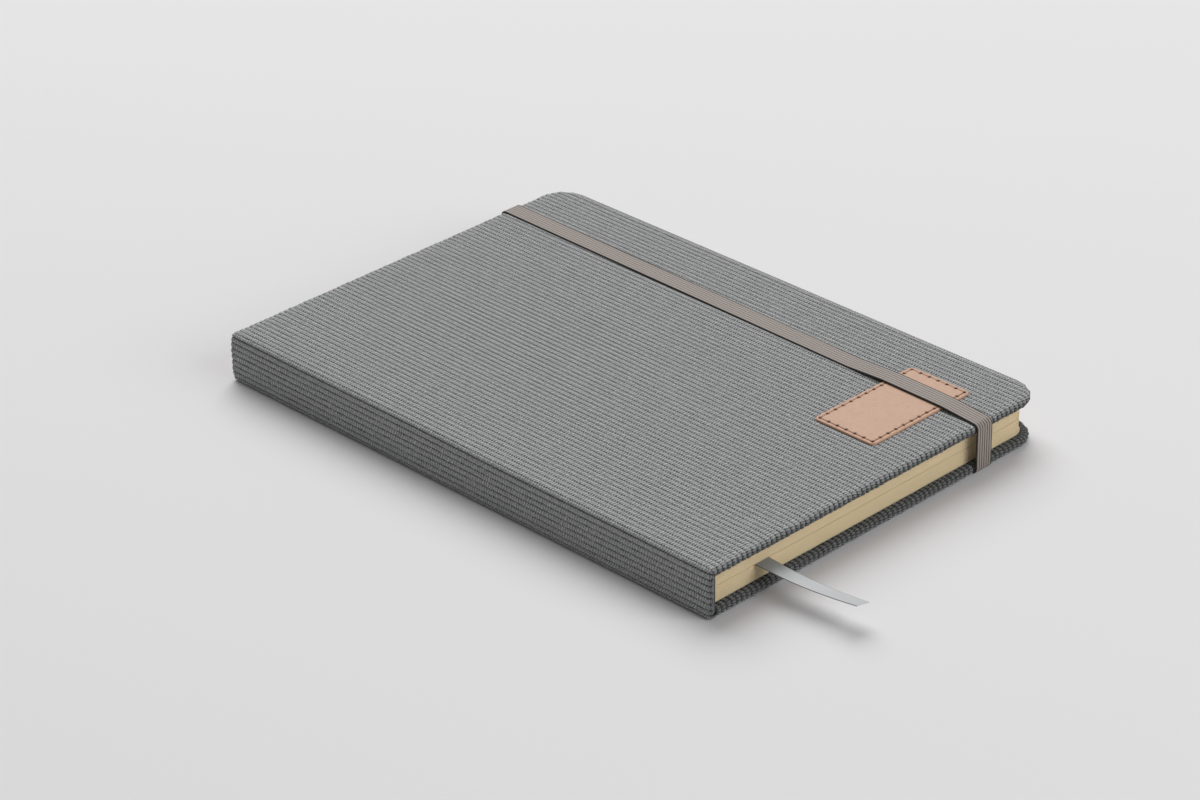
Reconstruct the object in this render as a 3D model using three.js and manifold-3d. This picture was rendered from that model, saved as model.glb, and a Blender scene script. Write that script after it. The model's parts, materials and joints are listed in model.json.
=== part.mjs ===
// A cloth-bound hardcover notebook, closed and lying flat with its front cover up.
// Millimetres. +Z is up, X runs from the spine to the fore edge, and Y from tail to head.
// The origin is on the surface that the notebook lies on, below the middle of the covers.

import * as THREE from 'three';
import { mergeVertices } from 'three/addons/utils/BufferGeometryUtils.js';
import Module from 'manifold-3d';

const wasm = await Module();
wasm.setup();

// Case: two covers and a flat spine, boards wrapped in one sheet of corduroy
const COVER_WIDTH = 148; // spine face to fore edge
const COVER_HEIGHT = 210; // tail to head
const COVER_CORNER = 10; // round of the two fore-edge corners
const BOARD_THICKNESS = 1.9; // greyboard of a cover
const SPINE_BOARD_THICKNESS = 0.9;
const CLOTH_THICKNESS = 0.9; // corduroy on the outside, pile and backing
const TURN_IN_THICKNESS = 0.6; // the same cloth crushed flat where it is folded inside
const TURN_IN_WIDTH = 14; // from the cover's edge
const EDGE_ROUND = 1.4; // the cloth's round over a board's edge
const SPINE_END_ROUND = 1.1; // the same at the head and tail of the spine
const HINGE_STRIP = 0.3; // straight cloth on each side of a hinge's bend
const BOARD_GAP = 0.3; // spine panel to the edge of a cover's board

// Endpapers: a pastedown glued to each cover, and a flyleaf glued to the pages
const ENDPAPER_THICKNESS = 0.15;
const PASTEDOWN_MARGIN = 3; // cover's edge to the pastedown's edge
const LID_CLEARANCE = 0.2; // air between the front pastedown and the pages

// Page block: sewn signatures, opened in the middle where the ribbon lies
const SIGNATURES_BELOW = 6;
const SIGNATURES_ABOVE = 6;
const LEAVES_PER_SIGNATURE = 8;
const LEAF_THICKNESS = 0.094;
const SQUARE = 3.3; // how far a cover stands out past the pages
const LINING_THICKNESS = 0.4; // crash cloth and paper glued over the folds
const BLOCK_GAP = 0.2; // spine panel to the lining
const THREAD_DIAMETER = 0.4; // sewing thread
const SEWING_STATIONS = 6;
const STATION_MARGIN = 15; // block's head or tail to the nearest station
const STATION_HALF_LENGTH = 0.5; // half of the notch that a station's thread lies in

// Ribbon marker
const RIBBON_WIDTH = 6;
const RIBBON_THICKNESS = 0.25;
const RIBBON_SLACK = 0.05; // air over the ribbon between the pages
const RIBBON_EXIT_GAP = 0.3; // pages to the free end
const RIBBON_HEAD_INSET = 3.2; // block's back to the middle of the ribbon, at the head
const RIBBON_TAIL_INSET = 21.9; // the same at the tail

// Elastic closure: a flat band round the front cover, anchored through the back cover
const ELASTIC_WIDTH = 7;
const ELASTIC_THICKNESS = 0.6;
const ELASTIC_SLIP = 0.1; // air between the band and the covers
const ELASTIC_TAIL_INSET = 28.5; // fore edge to the band's middle, at the tail
const ELASTIC_HEAD_INSET = 25; // the same at the head
const ELASTIC_END_GAP = 0.3; // moving band to its fixed end
const ELASTIC_SLIT_INSET = 20; // cover's edge to the slit that the band's end goes through
const ELASTIC_TAB_LENGTH = 14; // glued under the pastedown
const ELASTIC_RAMP = 15; // length over which the band climbs onto the patch

// Leather patch, stitched down near the tail of the front cover
const PATCH_LENGTH = 45; // X
const PATCH_DEPTH = 24; // Y
const PATCH_THICKNESS = 0.9;
const PATCH_CORNER = 2;
const PATCH_FROM_FORE = 17.5; // fore edge to the patch
const PATCH_FROM_TAIL = 14.5; // tail edge to the patch
const STITCH_INSET = 1.4; // patch's edge to the stitch line
const STITCH_PITCH = 3.6;
const STITCH_GAP = 0.9; // between one stitch and the next
const STITCH_DIAMETER = 0.45;
const STITCH_UNDERRUN = 0.25; // the thread where it is pulled down between two stitches
const STITCH_GROOVE_WIDTH = 0.8;
const STITCH_GROOVE_DEPTH = 0.6;

// Facets
const CORNER_STEPS = 8; // on a quarter turn of a cover's corner
const EDGE_STEPS = 3; // on a quarter turn of a rounded edge
const HINGE_STEPS = 6; // on a quarter turn of a hinge
const THREAD_SIDES = 8;
const CUT_MARGIN = 5; // how far a cutting solid runs past what it cuts

// Places that follow from the sizes above
const coverThickness = CLOTH_THICKNESS + BOARD_THICKNESS + TURN_IN_THICKNESS;
const spineThickness = CLOTH_THICKNESS + SPINE_BOARD_THICKNESS + TURN_IN_THICKNESS;
const signatureThickness = LEAVES_PER_SIGNATURE * LEAF_THICKNESS;
const ribbonGap = RIBBON_THICKNESS + RIBBON_SLACK;
const lowerPagesBottom = coverThickness + ENDPAPER_THICKNESS;
const lowerSignaturesBottom = lowerPagesBottom + ENDPAPER_THICKNESS;
const lowerPagesTop = lowerSignaturesBottom + SIGNATURES_BELOW * signatureThickness;
const upperPagesBottom = lowerPagesTop + ribbonGap;
const upperSignaturesTop = upperPagesBottom + SIGNATURES_ABOVE * signatureThickness;
const upperPagesTop = upperSignaturesTop + ENDPAPER_THICKNESS;
const bookThickness = upperPagesTop + LID_CLEARANCE + ENDPAPER_THICKNESS + coverThickness;
const spineFace = -COVER_WIDTH / 2;
const foreEdge = COVER_WIDTH / 2;
const headEdge = COVER_HEIGHT / 2;
const tailEdge = -headEdge;
const hingeRadius = coverThickness / 2; // a hinge's axis is this far inside both outer faces
const boardSpineEdge = spineFace + spineThickness + BOARD_GAP;
const liningBack = spineFace + spineThickness + BLOCK_GAP;
const blockBack = liningBack + LINING_THICKNESS;
const blockFore = foreEdge - SQUARE;
const blockHead = headEdge - SQUARE;
const patchMiddle = new THREE.Vector2(
  foreEdge - PATCH_FROM_FORE - PATCH_LENGTH / 2,
  tailEdge + PATCH_FROM_TAIL + PATCH_DEPTH / 2,
);
const elasticTailX = foreEdge - ELASTIC_TAIL_INSET;
const elasticHeadX = foreEdge - ELASTIC_HEAD_INSET;

// The ribbon's free end dips and levels out. Each point is measured from the first one, where
// the ribbon leaves the pages at the tail. Chosen by hand.
const RIBBON_ROUTE = [
  [0, 0, 0],
  [0.15, -2, -0.12],
  [0.32, -4.3, -0.32],
  [0.52, -6.8, -0.56],
  [0.74, -9.4, -0.78],
  [0.96, -12, -0.96],
  [1.18, -14.6, -1.08],
  [1.4, -17.2, -1.14],
  [1.62, -19.8, -1.16],
  [1.84, -22.4, -1.13],
  [2.06, -25, -1.06],
  [2.28, -27.6, -0.95],
  [2.5, -30.2, -0.81],
  [2.7, -32.6, -0.65],
  [2.9, -34.8, -0.49],
  [3, -35.9, -0.4],
];

// Materials
const corduroy = new THREE.MeshStandardMaterial({ color: 0x7d8182, roughness: 0.95, metalness: 0 });
const greyboard = new THREE.MeshStandardMaterial({ color: 0x8f8a80, roughness: 0.9, metalness: 0 });
const endpaper = new THREE.MeshStandardMaterial({ color: 0xe6d6b0, roughness: 0.85, metalness: 0 });
const pagePaper = new THREE.MeshStandardMaterial({ color: 0xdcc793, roughness: 0.85, metalness: 0 });
const crash = new THREE.MeshStandardMaterial({ color: 0xd8d2c2, roughness: 0.95, metalness: 0 });
const linen = new THREE.MeshStandardMaterial({ color: 0xece4d0, roughness: 0.8, metalness: 0 });
const satin = new THREE.MeshStandardMaterial({ color: 0x8c9094, roughness: 0.45, metalness: 0 });
const elastic = new THREE.MeshStandardMaterial({ color: 0x9a918b, roughness: 0.8, metalness: 0 });
const leather = new THREE.MeshStandardMaterial({ color: 0xcba183, roughness: 0.7, metalness: 0 });
const waxedThread = new THREE.MeshStandardMaterial({ color: 0x5a3422, roughness: 0.6, metalness: 0 });

const notebook = new THREE.Group();

// Solids and meshes
function toSolid(geometry) {
  const bare = geometry.clone();
  bare.deleteAttribute('normal');
  bare.deleteAttribute('uv');
  const merged = mergeVertices(bare);
  return new wasm.Manifold(new wasm.Mesh({
    numProp: 3,
    vertProperties: new Float32Array(merged.attributes.position.array),
    triVerts: new Uint32Array(merged.index.array),
  }));
}

function toGeometry(solid) {
  const mesh = solid.getMesh();
  const geometry = new THREE.BufferGeometry();
  geometry.setAttribute('position', new THREE.BufferAttribute(mesh.vertProperties, 3));
  geometry.setIndex(new THREE.BufferAttribute(mesh.triVerts, 1));
  geometry.computeVertexNormals();
  return geometry;
}

function cut(base, ...tools) {
  return tools.reduce((rest, tool) => rest.subtract(tool), base);
}

function join(...parts) {
  return parts.reduce((whole, part) => whole.add(part));
}

function addPiece(parent, name, geometry, material) {
  const mesh = new THREE.Mesh(geometry, material);
  mesh.name = name;
  parent.add(mesh);
  return mesh;
}

// Geometry helpers
function block(xFrom, xTo, yFrom, yTo, zFrom, zTo) {
  const geometry = new THREE.BoxGeometry(xTo - xFrom, yTo - yFrom, zTo - zFrom);
  geometry.translate((xFrom + xTo) / 2, (yFrom + yTo) / 2, (zFrom + zTo) / 2);
  return geometry;
}

// A sheet or board: straight at the spine, with two round corners at the fore edge
function boardOutline(spineX, foreX, halfHeight, corner) {
  const shape = new THREE.Shape();
  shape.moveTo(spineX, -halfHeight);
  shape.lineTo(foreX - corner, -halfHeight);
  shape.absarc(foreX - corner, -halfHeight + corner, corner, -Math.PI / 2, 0);
  shape.absarc(foreX - corner, halfHeight - corner, corner, 0, Math.PI / 2);
  shape.lineTo(spineX, halfHeight);
  return shape;
}

function roundedRectangle(middle, width, height, corner) {
  const [left, right] = [middle.x - width / 2, middle.x + width / 2];
  const [low, high] = [middle.y - height / 2, middle.y + height / 2];
  const shape = new THREE.Shape();
  shape.moveTo(left + corner, low);
  shape.absarc(right - corner, low + corner, corner, -Math.PI / 2, 0);
  shape.absarc(right - corner, high - corner, corner, 0, Math.PI / 2);
  shape.absarc(left + corner, high - corner, corner, Math.PI / 2, Math.PI);
  shape.absarc(left + corner, low + corner, corner, Math.PI, Math.PI * 1.5);
  return shape;
}

function plate(shape, bottom, top, curveSegments = CORNER_STEPS) {
  const geometry = new THREE.ExtrudeGeometry(shape, {
    depth: top - bottom,
    bevelEnabled: false,
    curveSegments,
  });
  geometry.translate(0, 0, bottom);
  return geometry;
}

function roundedPlate(shape, bottom, top, round) {
  const geometry = new THREE.ExtrudeGeometry(shape, {
    depth: top - bottom - 2 * round,
    bevelThickness: round,
    bevelSize: round,
    bevelOffset: -round,
    bevelSegments: EDGE_STEPS,
    curveSegments: CORNER_STEPS,
  });
  geometry.translate(0, 0, bottom + round);
  return geometry;
}

// A section drawn in X and Z, run along Y
function alongY(section, yFrom, yTo, curveSegments) {
  const geometry = plate(section, -yTo, -yFrom, curveSegments);
  geometry.rotateX(Math.PI / 2);
  return geometry;
}

// A section drawn in Y and Z, run along X and centred on it
function alongX(section, width, curveSegments) {
  const geometry = plate(section, -width / 2, width / 2, curveSegments);
  geometry.rotateX(Math.PI / 2);
  geometry.rotateZ(Math.PI / 2);
  return geometry;
}

// A length of thread along Y, with flats that face along X and Z
function threadBar(length, diameter = THREAD_DIAMETER) {
  const geometry = new THREE.CylinderGeometry(diameter / 2, diameter / 2, length, THREAD_SIDES);
  geometry.rotateY(Math.PI / THREAD_SIDES);
  return geometry;
}

function polygon(points) {
  return new THREE.Shape(points.map(([u, v]) => new THREE.Vector2(u, v)));
}

// An outline of the cover drawn in by some distance; its spine side runs on past the cut
function coverOutline(inset) {
  const corner = Math.max(COVER_CORNER - inset, PATCH_CORNER);
  return boardOutline(spineFace - CUT_MARGIN, foreEdge - inset, headEdge - inset, corner);
}

// All that lies on the spine's side of a plane, as a cutting solid
function spineSideOf(x, zFrom, zTo) {
  const far = headEdge + CUT_MARGIN;
  return toSolid(block(spineFace - 2 * CUT_MARGIN, x, -far, far, zFrom, zTo));
}

// One cover lies outside down, with its outer face at zero, as the back cover does
const boardBottom = CLOTH_THICKNESS;
const boardTop = boardBottom + BOARD_THICKNESS;

function coverCloth(extraCuts) {
  const whole = toSolid(roundedPlate(coverOutline(0), 0, coverThickness, EDGE_ROUND));
  const boardSpace = toSolid(plate(coverOutline(CLOTH_THICKNESS), boardBottom, boardTop));
  const above = coverThickness + CUT_MARGIN;
  const window = toSolid(plate(coverOutline(TURN_IN_WIDTH), boardTop, above));
  const hingeSide = spineSideOf(spineFace + hingeRadius + HINGE_STRIP, -CUT_MARGIN, above);
  const boardSide = spineSideOf(boardSpineEdge, CLOTH_THICKNESS, above);
  return cut(whole, boardSpace, window, hingeSide, boardSide, ...extraCuts);
}

function coverBoard(extraCuts) {
  const whole = toSolid(plate(coverOutline(CLOTH_THICKNESS), boardBottom, boardTop));
  return cut(whole, spineSideOf(boardSpineEdge, -CUT_MARGIN, coverThickness), ...extraCuts);
}

// The pastedown covers the turn-ins and sinks onto the board between them
function pastedown(bumps, bumpCuts) {
  const top = coverThickness + ENDPAPER_THICKNESS;
  const rim = toSolid(plate(coverOutline(PASTEDOWN_MARGIN), coverThickness, top));
  const pan = toSolid(plate(coverOutline(TURN_IN_WIDTH), boardTop, top));
  const hollow = toSolid(
    plate(coverOutline(TURN_IN_WIDTH + ENDPAPER_THICKNESS), boardTop + ENDPAPER_THICKNESS, top + CUT_MARGIN),
  );
  const sheet = join(cut(join(rim, pan), hollow), ...bumps);
  return cut(sheet, spineSideOf(boardSpineEdge, -CUT_MARGIN, top + CUT_MARGIN), ...bumpCuts);
}

// The elastic's fixed ends: under the cloth's face, up through a slit and flat on the board
const elasticEnds = [
  { name: 'elastic_end_tail', x: elasticTailX, side: -1 },
  { name: 'elastic_end_head', x: elasticHeadX, side: 1 },
];
const slitFar = headEdge - ELASTIC_SLIT_INSET;
const slitNear = slitFar - ELASTIC_THICKNESS;
const tabEnd = slitFar - ELASTIC_TAB_LENGTH;
const bandOutside = headEdge + ELASTIC_SLIP + ELASTIC_THICKNESS;

function spanX(x, clearance) {
  const half = ELASTIC_WIDTH / 2 + clearance;
  return [x - half, x + half];
}

function spanY(side, from, to) {
  return side > 0 ? [from, to] : [-to, -from];
}

function elasticEnd({ x, side }) {
  const outline = [
    [bandOutside, 0],
    [bandOutside, ELASTIC_THICKNESS],
    [slitFar, ELASTIC_THICKNESS],
    [slitFar, boardTop + ELASTIC_THICKNESS],
    [tabEnd, boardTop + ELASTIC_THICKNESS],
    [tabEnd, boardTop],
    [slitNear, boardTop],
    [slitNear, 0],
  ];
  const section = side > 0 ? outline : outline.map(([y, z]) => [-y, z]).reverse();
  const geometry = alongX(polygon(section), ELASTIC_WIDTH);
  geometry.translate(x, 0, 0);
  return geometry;
}

// Where the elastic's ends pass: a crushed channel in the pile, and a slit through cloth and board
const channelCuts = elasticEnds.flatMap(({ x, side }) => [
  toSolid(block(
    ...spanX(x, ELASTIC_SLIP),
    ...spanY(side, slitNear - ELASTIC_SLIP, bandOutside + CUT_MARGIN),
    -CUT_MARGIN,
    ELASTIC_THICKNESS + ELASTIC_SLIP,
  )),
  toSolid(block(
    ...spanX(x, ELASTIC_SLIP),
    ...spanY(side, slitNear - ELASTIC_SLIP, slitFar + ELASTIC_SLIP),
    -CUT_MARGIN,
    coverThickness + CUT_MARGIN,
  )),
]);
const tabBumps = elasticEnds.map(({ x, side }) => toSolid(block(
  ...spanX(x, ELASTIC_SLIP + ENDPAPER_THICKNESS),
  ...spanY(side, tabEnd - ELASTIC_SLIP - ENDPAPER_THICKNESS, slitFar + ELASTIC_SLIP + ENDPAPER_THICKNESS),
  boardTop,
  boardTop + ELASTIC_THICKNESS + ENDPAPER_THICKNESS,
)));
const tabCuts = elasticEnds.map(({ x, side }) => toSolid(block(
  ...spanX(x, ELASTIC_SLIP),
  ...spanY(side, tabEnd - ELASTIC_SLIP, slitFar + ELASTIC_SLIP),
  -CUT_MARGIN,
  boardTop + ELASTIC_THICKNESS,
)));

// Back cover
addPiece(notebook, 'back_cloth', toGeometry(coverCloth(channelCuts)), corduroy);
addPiece(notebook, 'back_board', toGeometry(coverBoard(channelCuts)), greyboard);
addPiece(notebook, 'back_pastedown', toGeometry(pastedown(tabBumps, tabCuts)), endpaper);
elasticEnds.forEach((end) => addPiece(notebook, end.name, elasticEnd(end), elastic));

// Front cover: the same cover turned over about X, which leaves its fore edge where it is
const frontCover = new THREE.Group();
frontCover.rotation.x = Math.PI;
frontCover.position.z = bookThickness;
notebook.add(frontCover);
addPiece(frontCover, 'front_cloth', toGeometry(coverCloth([])), corduroy);
addPiece(frontCover, 'front_board', toGeometry(coverBoard([])), greyboard);
addPiece(frontCover, 'front_pastedown', toGeometry(pastedown([], [])), endpaper);

// Spine: a flat panel between the two hinges, its cloth turned in at head and tail
const spineBottom = hingeRadius + HINGE_STRIP;
const spineTop = bookThickness - spineBottom;
const spineBoardFace = spineFace + CLOTH_THICKNESS;
const spineBoardBack = spineBoardFace + SPINE_BOARD_THICKNESS;

function spineCloth() {
  const middle = new THREE.Vector2(spineFace + spineThickness / 2, 0);
  const outline = roundedRectangle(middle, spineThickness, COVER_HEIGHT, SPINE_END_ROUND);
  const boardEnd = headEdge - CLOTH_THICKNESS;
  const turnInEnd = headEdge - TURN_IN_WIDTH;
  const [below, above] = [spineBottom - CUT_MARGIN, spineTop + CUT_MARGIN];
  return cut(
    toSolid(plate(outline, spineBottom, spineTop, EDGE_STEPS)),
    toSolid(block(spineBoardFace, spineBoardBack, -boardEnd, boardEnd, below, above)),
    toSolid(block(spineBoardBack, spineBoardBack + CUT_MARGIN, -turnInEnd, turnInEnd, below, above)),
  );
}

addPiece(notebook, 'spine_cloth', toGeometry(spineCloth()), corduroy);
addPiece(
  notebook,
  'spine_board',
  block(
    spineBoardFace,
    spineBoardBack,
    tailEdge + CLOTH_THICKNESS,
    headEdge - CLOTH_THICKNESS,
    spineBottom,
    spineTop,
  ),
  greyboard,
);

// Hinges: the cloth alone, bent a quarter turn round each hinge's axis
function hingeSection(axisZ, up) {
  const axisX = spineFace + hingeRadius;
  const inner = hingeRadius - CLOTH_THICKNESS;
  const strip = HINGE_STRIP;
  const shape = new THREE.Shape();
  shape.moveTo(axisX + strip, axisZ - up * hingeRadius);
  shape.absarc(axisX, axisZ, hingeRadius, (-up * Math.PI) / 2, -up * Math.PI, up > 0);
  shape.lineTo(spineFace, axisZ + up * strip);
  shape.lineTo(spineFace + CLOTH_THICKNESS, axisZ + up * strip);
  shape.absarc(axisX, axisZ, inner, -up * Math.PI, (-up * Math.PI) / 2, up < 0);
  shape.lineTo(axisX + strip, axisZ - up * inner);
  return shape;
}

function hingeCloth(axisZ, up) {
  return alongY(hingeSection(axisZ, up), tailEdge, headEdge, HINGE_STEPS);
}

addPiece(notebook, 'back_hinge_cloth', hingeCloth(hingeRadius, 1), corduroy);
addPiece(notebook, 'front_hinge_cloth', hingeCloth(bookThickness - hingeRadius, -1), corduroy);

// Page block: flyleaves, signatures, and the notches that the sewing lies in
const blockCorner = COVER_CORNER - SQUARE;
const threadWidth = THREAD_DIAMETER * Math.cos(Math.PI / THREAD_SIDES); // across its flats
const stationSpan = 2 * (blockHead - STATION_MARGIN);
const stations = Array.from(
  { length: SEWING_STATIONS },
  (_, i) => -stationSpan / 2 + (stationSpan * i) / (SEWING_STATIONS - 1),
);

function sheetOfPages(bottom, top) {
  return plate(boardOutline(blockBack, blockFore, blockHead, blockCorner), bottom, top);
}

// The fold of a signature holds a run of thread, which comes out of it at each station
function signature(bottom) {
  const top = bottom + signatureThickness;
  const middle = (bottom + top) / 2;
  const [back, front] = [blockBack - CUT_MARGIN, blockBack + threadWidth];
  const notches = stations.map((y) => toSolid(block(
    back,
    front,
    y - STATION_HALF_LENGTH,
    y + STATION_HALF_LENGTH,
    bottom - CUT_MARGIN,
    top + CUT_MARGIN,
  )));
  const fold = toSolid(block(
    back,
    front,
    stations.at(0),
    stations.at(-1),
    middle - threadWidth / 2,
    middle + threadWidth / 2,
  ));
  return toGeometry(cut(toSolid(sheetOfPages(bottom, top)), fold, ...notches));
}

function signatureName(number) {
  return `signature_${String(number).padStart(2, '0')}`;
}

for (let i = 0; i < SIGNATURES_BELOW; i += 1) {
  const bottom = lowerSignaturesBottom + i * signatureThickness;
  addPiece(notebook, signatureName(i + 1), signature(bottom), pagePaper);
}
for (let i = 0; i < SIGNATURES_ABOVE; i += 1) {
  const bottom = upperPagesBottom + i * signatureThickness;
  addPiece(notebook, signatureName(SIGNATURES_BELOW + i + 1), signature(bottom), pagePaper);
}
addPiece(notebook, 'back_flyleaf', sheetOfPages(lowerPagesBottom, lowerSignaturesBottom), endpaper);
addPiece(notebook, 'front_flyleaf', sheetOfPages(upperSignaturesTop, upperPagesTop), endpaper);

// Sewing and spine lining, each in a lower and an upper half that part where the book opens
function sewing(bottom, count) {
  const top = bottom + count * signatureThickness;
  const x = blockBack + threadWidth / 2;
  const links = stations.map((y) => {
    const geometry = threadBar(top - bottom);
    geometry.rotateX(Math.PI / 2);
    geometry.translate(x, y, (bottom + top) / 2);
    return toSolid(geometry);
  });
  const runs = Array.from({ length: count }, (_, i) => {
    const geometry = threadBar(stationSpan);
    geometry.translate(x, 0, bottom + (i + 0.5) * signatureThickness);
    return toSolid(geometry);
  });
  return toGeometry(join(...links, ...runs));
}

function lining(bottom, top) {
  return block(liningBack, blockBack, -blockHead, blockHead, bottom, top);
}

addPiece(
  notebook,
  'lower_sewing_thread',
  sewing(lowerSignaturesBottom, SIGNATURES_BELOW),
  linen,
);
addPiece(notebook, 'upper_sewing_thread', sewing(upperPagesBottom, SIGNATURES_ABOVE), linen);
addPiece(notebook, 'lower_spine_lining', lining(lowerPagesBottom, lowerPagesTop), crash);
addPiece(notebook, 'upper_spine_lining', lining(upperPagesBottom, upperPagesTop), crash);

// Ribbon: rings of eight points, flat across the route
function flatStrip(route, width, thickness) {
  const [halfWidth, halfThickness] = [width / 2, thickness / 2];
  const nearEdge = halfWidth - halfThickness;
  const section = [
    [halfWidth, 0], [nearEdge, halfThickness], [0, halfThickness], [-nearEdge, halfThickness],
    [-halfWidth, 0], [-nearEdge, -halfThickness], [0, -halfThickness], [nearEdge, -halfThickness],
  ];
  const points = route.map((p) => new THREE.Vector3(...p));
  const up = new THREE.Vector3(0, 0, 1);
  const positions = points.flatMap((point, i) => {
    const ahead = points[Math.min(i + 1, points.length - 1)];
    const behind = points[Math.max(i - 1, 0)];
    const along = ahead.clone().sub(behind).normalize();
    const across = along.clone().cross(up).normalize();
    const normal = across.clone().cross(along);
    return section.flatMap(([u, v]) => point.clone()
      .addScaledVector(across, u)
      .addScaledVector(normal, v)
      .toArray());
  });
  const sides = section.length;
  const faces = [];
  for (let ring = 0; ring < points.length - 1; ring += 1) {
    for (let side = 0; side < sides; side += 1) {
      const next = (side + 1) % sides;
      const [a, b] = [ring * sides + side, ring * sides + next];
      faces.push(a, b + sides, b, a, a + sides, b + sides);
    }
  }
  const last = (points.length - 1) * sides;
  for (let side = 1; side < sides - 1; side += 1) {
    faces.push(0, side, side + 1, last, last + side + 1, last + side);
  }
  const geometry = new THREE.BufferGeometry();
  geometry.setAttribute('position', new THREE.Float32BufferAttribute(positions, 3));
  geometry.setIndex(faces);
  geometry.computeVertexNormals();
  return geometry;
}

const ribbonZ = lowerPagesTop + RIBBON_THICKNESS / 2;
const ribbonTailX = blockBack + RIBBON_TAIL_INSET;
const ribbonExit = [ribbonTailX, -blockHead - RIBBON_EXIT_GAP, ribbonZ];
const heldRibbon = [
  [blockBack + RIBBON_HEAD_INSET, blockHead, ribbonZ],
  [ribbonTailX, -blockHead, ribbonZ],
];
const freeRibbon = RIBBON_ROUTE.map((step) => step.map((length, axis) => ribbonExit[axis] + length));
addPiece(notebook, 'ribbon_held', flatStrip(heldRibbon, RIBBON_WIDTH, RIBBON_THICKNESS), satin);
addPiece(notebook, 'ribbon_tail', flatStrip(freeRibbon, RIBBON_WIDTH, RIBBON_THICKNESS), satin);

// Elastic band: down past the tail edge, over the cover and the patch, down past the head edge
const bandBend = EDGE_ROUND + ELASTIC_SLIP;
const bandInside = headEdge + ELASTIC_SLIP;
const bandUnder = bookThickness + ELASTIC_SLIP;
const bandFoot = ELASTIC_THICKNESS + ELASTIC_END_GAP;
const patchLow = patchMiddle.y - PATCH_DEPTH / 2 - ELASTIC_SLIP;
const patchHigh = patchMiddle.y + PATCH_DEPTH / 2 + ELASTIC_SLIP;
const rampLow = Math.max(patchLow - ELASTIC_RAMP, -bandInside + bandBend);

function bandLine(offset) {
  const bendY = bandInside - bandBend;
  const bendZ = bandUnder - bandBend;
  const bend = Array.from({ length: HINGE_STEPS + 1 }, (_, i) => {
    const angle = (Math.PI / 2) * (i / HINGE_STEPS);
    const radius = bandBend + offset;
    return [bendY + radius * Math.cos(angle), bendZ + radius * Math.sin(angle)];
  });
  const tailBend = bend.map(([y, z]) => [-y, z]);
  const flat = bandUnder + offset;
  return [
    [-bandInside - offset, bandFoot],
    ...tailBend,
    [rampLow, flat],
    [patchLow, flat + PATCH_THICKNESS],
    [patchHigh, flat + PATCH_THICKNESS],
    [patchHigh + ELASTIC_RAMP, flat],
    ...bend.toReversed(),
    [bandInside + offset, bandFoot],
  ];
}

function elasticBand() {
  const outline = [...bandLine(0), ...bandLine(ELASTIC_THICKNESS).toReversed()];
  const geometry = alongX(polygon(outline), ELASTIC_WIDTH);
  const lean = (elasticHeadX - elasticTailX) / COVER_HEIGHT;
  const middle = (elasticHeadX + elasticTailX) / 2;
  const position = geometry.attributes.position;
  for (let i = 0; i < position.count; i += 1) {
    position.setX(i, position.getX(i) + middle + lean * position.getY(i));
  }
  return geometry;
}

addPiece(notebook, 'elastic_band', elasticBand(), elastic);

// Patch: a leather plate with a sunk line of stitches
const patchTop = bookThickness + PATCH_THICKNESS;
const grooveBottom = patchTop - STITCH_GROOVE_DEPTH;

function stitchLine(drawnIn) {
  const inset = 2 * (STITCH_INSET + drawnIn);
  const corner = Math.max(PATCH_CORNER - STITCH_INSET - drawnIn, STITCH_DIAMETER / 2);
  return roundedRectangle(patchMiddle, PATCH_LENGTH - inset, PATCH_DEPTH - inset, corner);
}

function patchPlate() {
  const outline = roundedRectangle(patchMiddle, PATCH_LENGTH, PATCH_DEPTH, PATCH_CORNER);
  const half = STITCH_GROOVE_WIDTH / 2;
  const groove = cut(
    toSolid(plate(stitchLine(-half), grooveBottom, patchTop + CUT_MARGIN)),
    toSolid(plate(stitchLine(half), grooveBottom - CUT_MARGIN, patchTop + 2 * CUT_MARGIN)),
  );
  return toGeometry(cut(toSolid(plate(outline, bookThickness, patchTop)), groove));
}

// Stitches along one straight side of the stitch line, from its middle and its length
function stitchesOnSide(middleX, middleY, turn, length) {
  const count = Math.round(length / STITCH_PITCH);
  const pitch = length / count;
  const z = grooveBottom + (STITCH_UNDERRUN + STITCH_DIAMETER) / 2;
  return Array.from({ length: count }, (_, i) => {
    const geometry = threadBar(pitch - STITCH_GAP, STITCH_DIAMETER);
    geometry.translate(0, -length / 2 + pitch * (i + 0.5), 0);
    geometry.rotateZ(turn);
    geometry.translate(middleX, middleY, z);
    return toSolid(geometry);
  });
}

// One thread: it lies on the groove's floor between the stitches, which stand higher
function stitching() {
  const alongLength = PATCH_LENGTH - 2 * STITCH_INSET;
  const alongDepth = PATCH_DEPTH - 2 * STITCH_INSET;
  const { x, y } = patchMiddle;
  const half = STITCH_UNDERRUN / 2;
  const underrunTop = grooveBottom + STITCH_UNDERRUN;
  const underrun = cut(
    toSolid(plate(stitchLine(-half), grooveBottom, underrunTop)),
    toSolid(plate(stitchLine(half), grooveBottom - CUT_MARGIN, underrunTop + CUT_MARGIN)),
  );
  return toGeometry(join(
    underrun,
    ...stitchesOnSide(x, y - alongDepth / 2, Math.PI / 2, alongLength),
    ...stitchesOnSide(x, y + alongDepth / 2, Math.PI / 2, alongLength),
    ...stitchesOnSide(x - alongLength / 2, y, 0, alongDepth),
    ...stitchesOnSide(x + alongLength / 2, y, 0, alongDepth),
  ));
}

addPiece(notebook, 'leather_patch', patchPlate(), leather);
addPiece(notebook, 'patch_stitching', stitching(), waxedThread);

export default notebook;
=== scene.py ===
"""A cloth-bound hardcover notebook, dressed over its packed CAD model.

Everything is in metres in the model's own frame: X from the spine to the fore edge, Y from tail
to head, Z up. Each operator makes one piece or one group of like pieces.
"""

import functools
import json
import math

import bpy
import numpy as np
from mathutils import Matrix, Vector

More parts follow.
